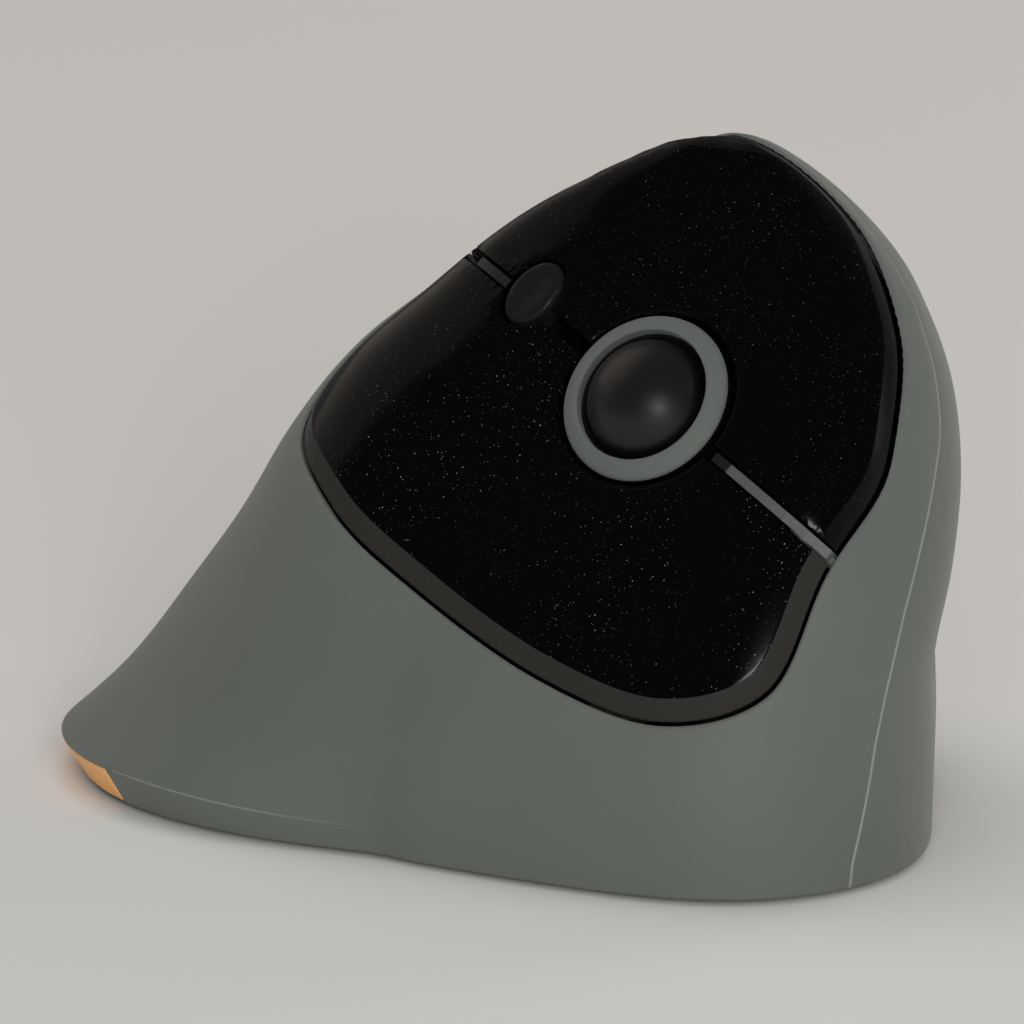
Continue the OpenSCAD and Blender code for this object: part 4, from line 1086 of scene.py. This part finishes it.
def scatterTree():
    tree, nodes = newTree(
        "screwScatter", [("Screw", "Object")],
        [("source", "ObjectInfo"), ("place", "InstanceOnPoints"), ("turn", "InputNamedAttribute")],
        [("entry", "Screw", "source", "Object"), ("entry", "Geometry", "place", "Points"),
         ("source", "Geometry", "place", "Instance"), ("turn", "Attribute", "place", "Rotation"),
         ("place", "Instances", "solid", "Geometry")])
    nodes["turn"].data_type = "FLOAT_VECTOR"
    nodes["turn"].inputs["Name"].default_value = "turn"
    return tree


def addScrews():
    source = screwMesh()
    height = body["footHeight"] + screws["headHeight"]
    mesh = bpy.data.meshes.new("screwPoints")
    mesh.from_pydata([(x * mm, y * mm, height * mm) for x, y in screws["at"]], [], [])
    turns = mesh.attributes.new("turn", "FLOAT_VECTOR", "POINT")
    turns.data.foreach_set("vector", [v for t in screws["turns"] for v in (0, 0, math.radians(t))])
    piece = bakeTree("baseScrews", mesh, scatterTree(), {"Screw": source, "Finish": finishes["steel"]})
    bpy.data.objects.remove(source)
    tidyNormals(piece)
    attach(piece, "housing")
    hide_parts("base_screws")


# Glide feet: rounded bars with a soft lower edge
feet = {"bars": [(5, 36.5, 6, 150), (11, -40, 6, 0), (33, -32, 4.5, 52), (-34.5, 16, 6, 85)], "radius": 2.6,
        "edge": ((0, 0.6), (0, 0.3), (0.04, 0.17), (0.12, 0.07), (0.24, 0.02), (0.36, 0))}


def addFeet():
    work = bmesh.new()
    for x, y, half, turn in feet["bars"]:
        c, q = math.cos(math.radians(turn)), math.sin(math.radians(turn))
        a = np.radians(np.arange(-90, 270, 5.0))
        side = np.where(np.arange(len(a)) < len(a) / 2, 1, -1) * half
        loops = []
        for inset, z in feet["edge"]:
            r = feet["radius"] - inset
            flat = np.column_stack([side + r * np.cos(a), r * np.sin(a)])
            loops.append(flatLoop(np.column_stack([x + flat @ [c, -q], y + flat @ [q, c]]), z))
        foot = loopsToMesh("glideFoot", loops, finishes["foot_black"])
        work.from_mesh(foot.data)
        bpy.data.objects.remove(foot)
    mesh = bpy.data.meshes.new("glideFeet")
    work.to_mesh(mesh)
    work.free()
    mesh.materials.append(finishes["foot_black"])
    piece = addObject("glideFeet", mesh)
    tidyNormals(piece)
    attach(piece, "housing")
    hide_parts("glide_feet")


addRing()
addBall()
addOval()
addBridge()
addScrews()
addFeet()
print("ring, ball, oval, bridge, screws and feet made")


# Floor and lights
stage = {"size": 3.0, "color": (226, 225, 223), "rough": 0.85, "world": 0.2}
# Each lamp's place, size, power and colour, and whether gloss shows it
lamps = {
    "frontSoftbox": ((0.5, 1.1, 0.45), (0.9, 0.8), 8.0, (0.97, 1.0, 0.99), False),
    "topSoftbox": ((0.0, -0.2, 1.1), (0.9, 0.9), 3.2, (1.0, 0.99, 0.98), False),
    "eyeSoftbox": ((0.38, 0.85, 0.29), (0.16, 0.12), 1.7, (1.0, 0.97, 0.95), True),
    "backSoftbox": ((0.35, -1.0, 0.85), (1.5, 1.2), 2.8, (1.0, 0.86, 0.74), True),
    "edgeStrip": ((-0.95, 0.6, 0.3), (0.08, 0.5), 0.8, (1.0, 1.0, 1.0), True),
    "thumbSoftbox": ((-1.1, -0.2, 0.3), (0.6, 0.6), 3.4, (1.0, 0.88, 0.78), False)}


def addStage():
    material, shader, wire, place = newMaterial("paleFloor", **{"Base Color": tone(*stage["color"])})
    feed(shader, None, stage["rough"] + wire.noise(place, 300, 2) * 0.1)
    half = stage["size"] / 2
    mesh = bpy.data.meshes.new("paleFloor")
    mesh.from_pydata([(-half, -half, 0), (half, -half, 0), (half, half, 0), (-half, half, 0)], [], [(0, 1, 2, 3)])
    mesh.materials.append(material)
    floor = addObject("paleFloor", mesh)
    for name, (place, size, power, color, shown) in lamps.items():
        data = bpy.data.lights.new(name, "AREA")
        data.shape = "RECTANGLE"
        data.size, data.size_y = size
        data.energy = power
        data.color = color
        lamp = addObject(name, data)
        lamp.location = place
        lamp.visible_glossy = shown
        lamp.rotation_euler = (Vector((0, 0, 0.03)) - Vector(place)).to_track_quat("-Z", "Y").to_euler()
    world = bpy.data.worlds.new("studio")
    bpy.context.scene.world = world
    world.use_nodes = True
    sky = next(n for n in world.node_tree.nodes if n.type == "BACKGROUND")
    sky.inputs["Color"].default_value = (0.98, 0.99, 1, 1)
    sky.inputs["Strength"].default_value = stage["world"]
    bpy.context.scene.view_settings.view_transform = "Standard"


addStage()
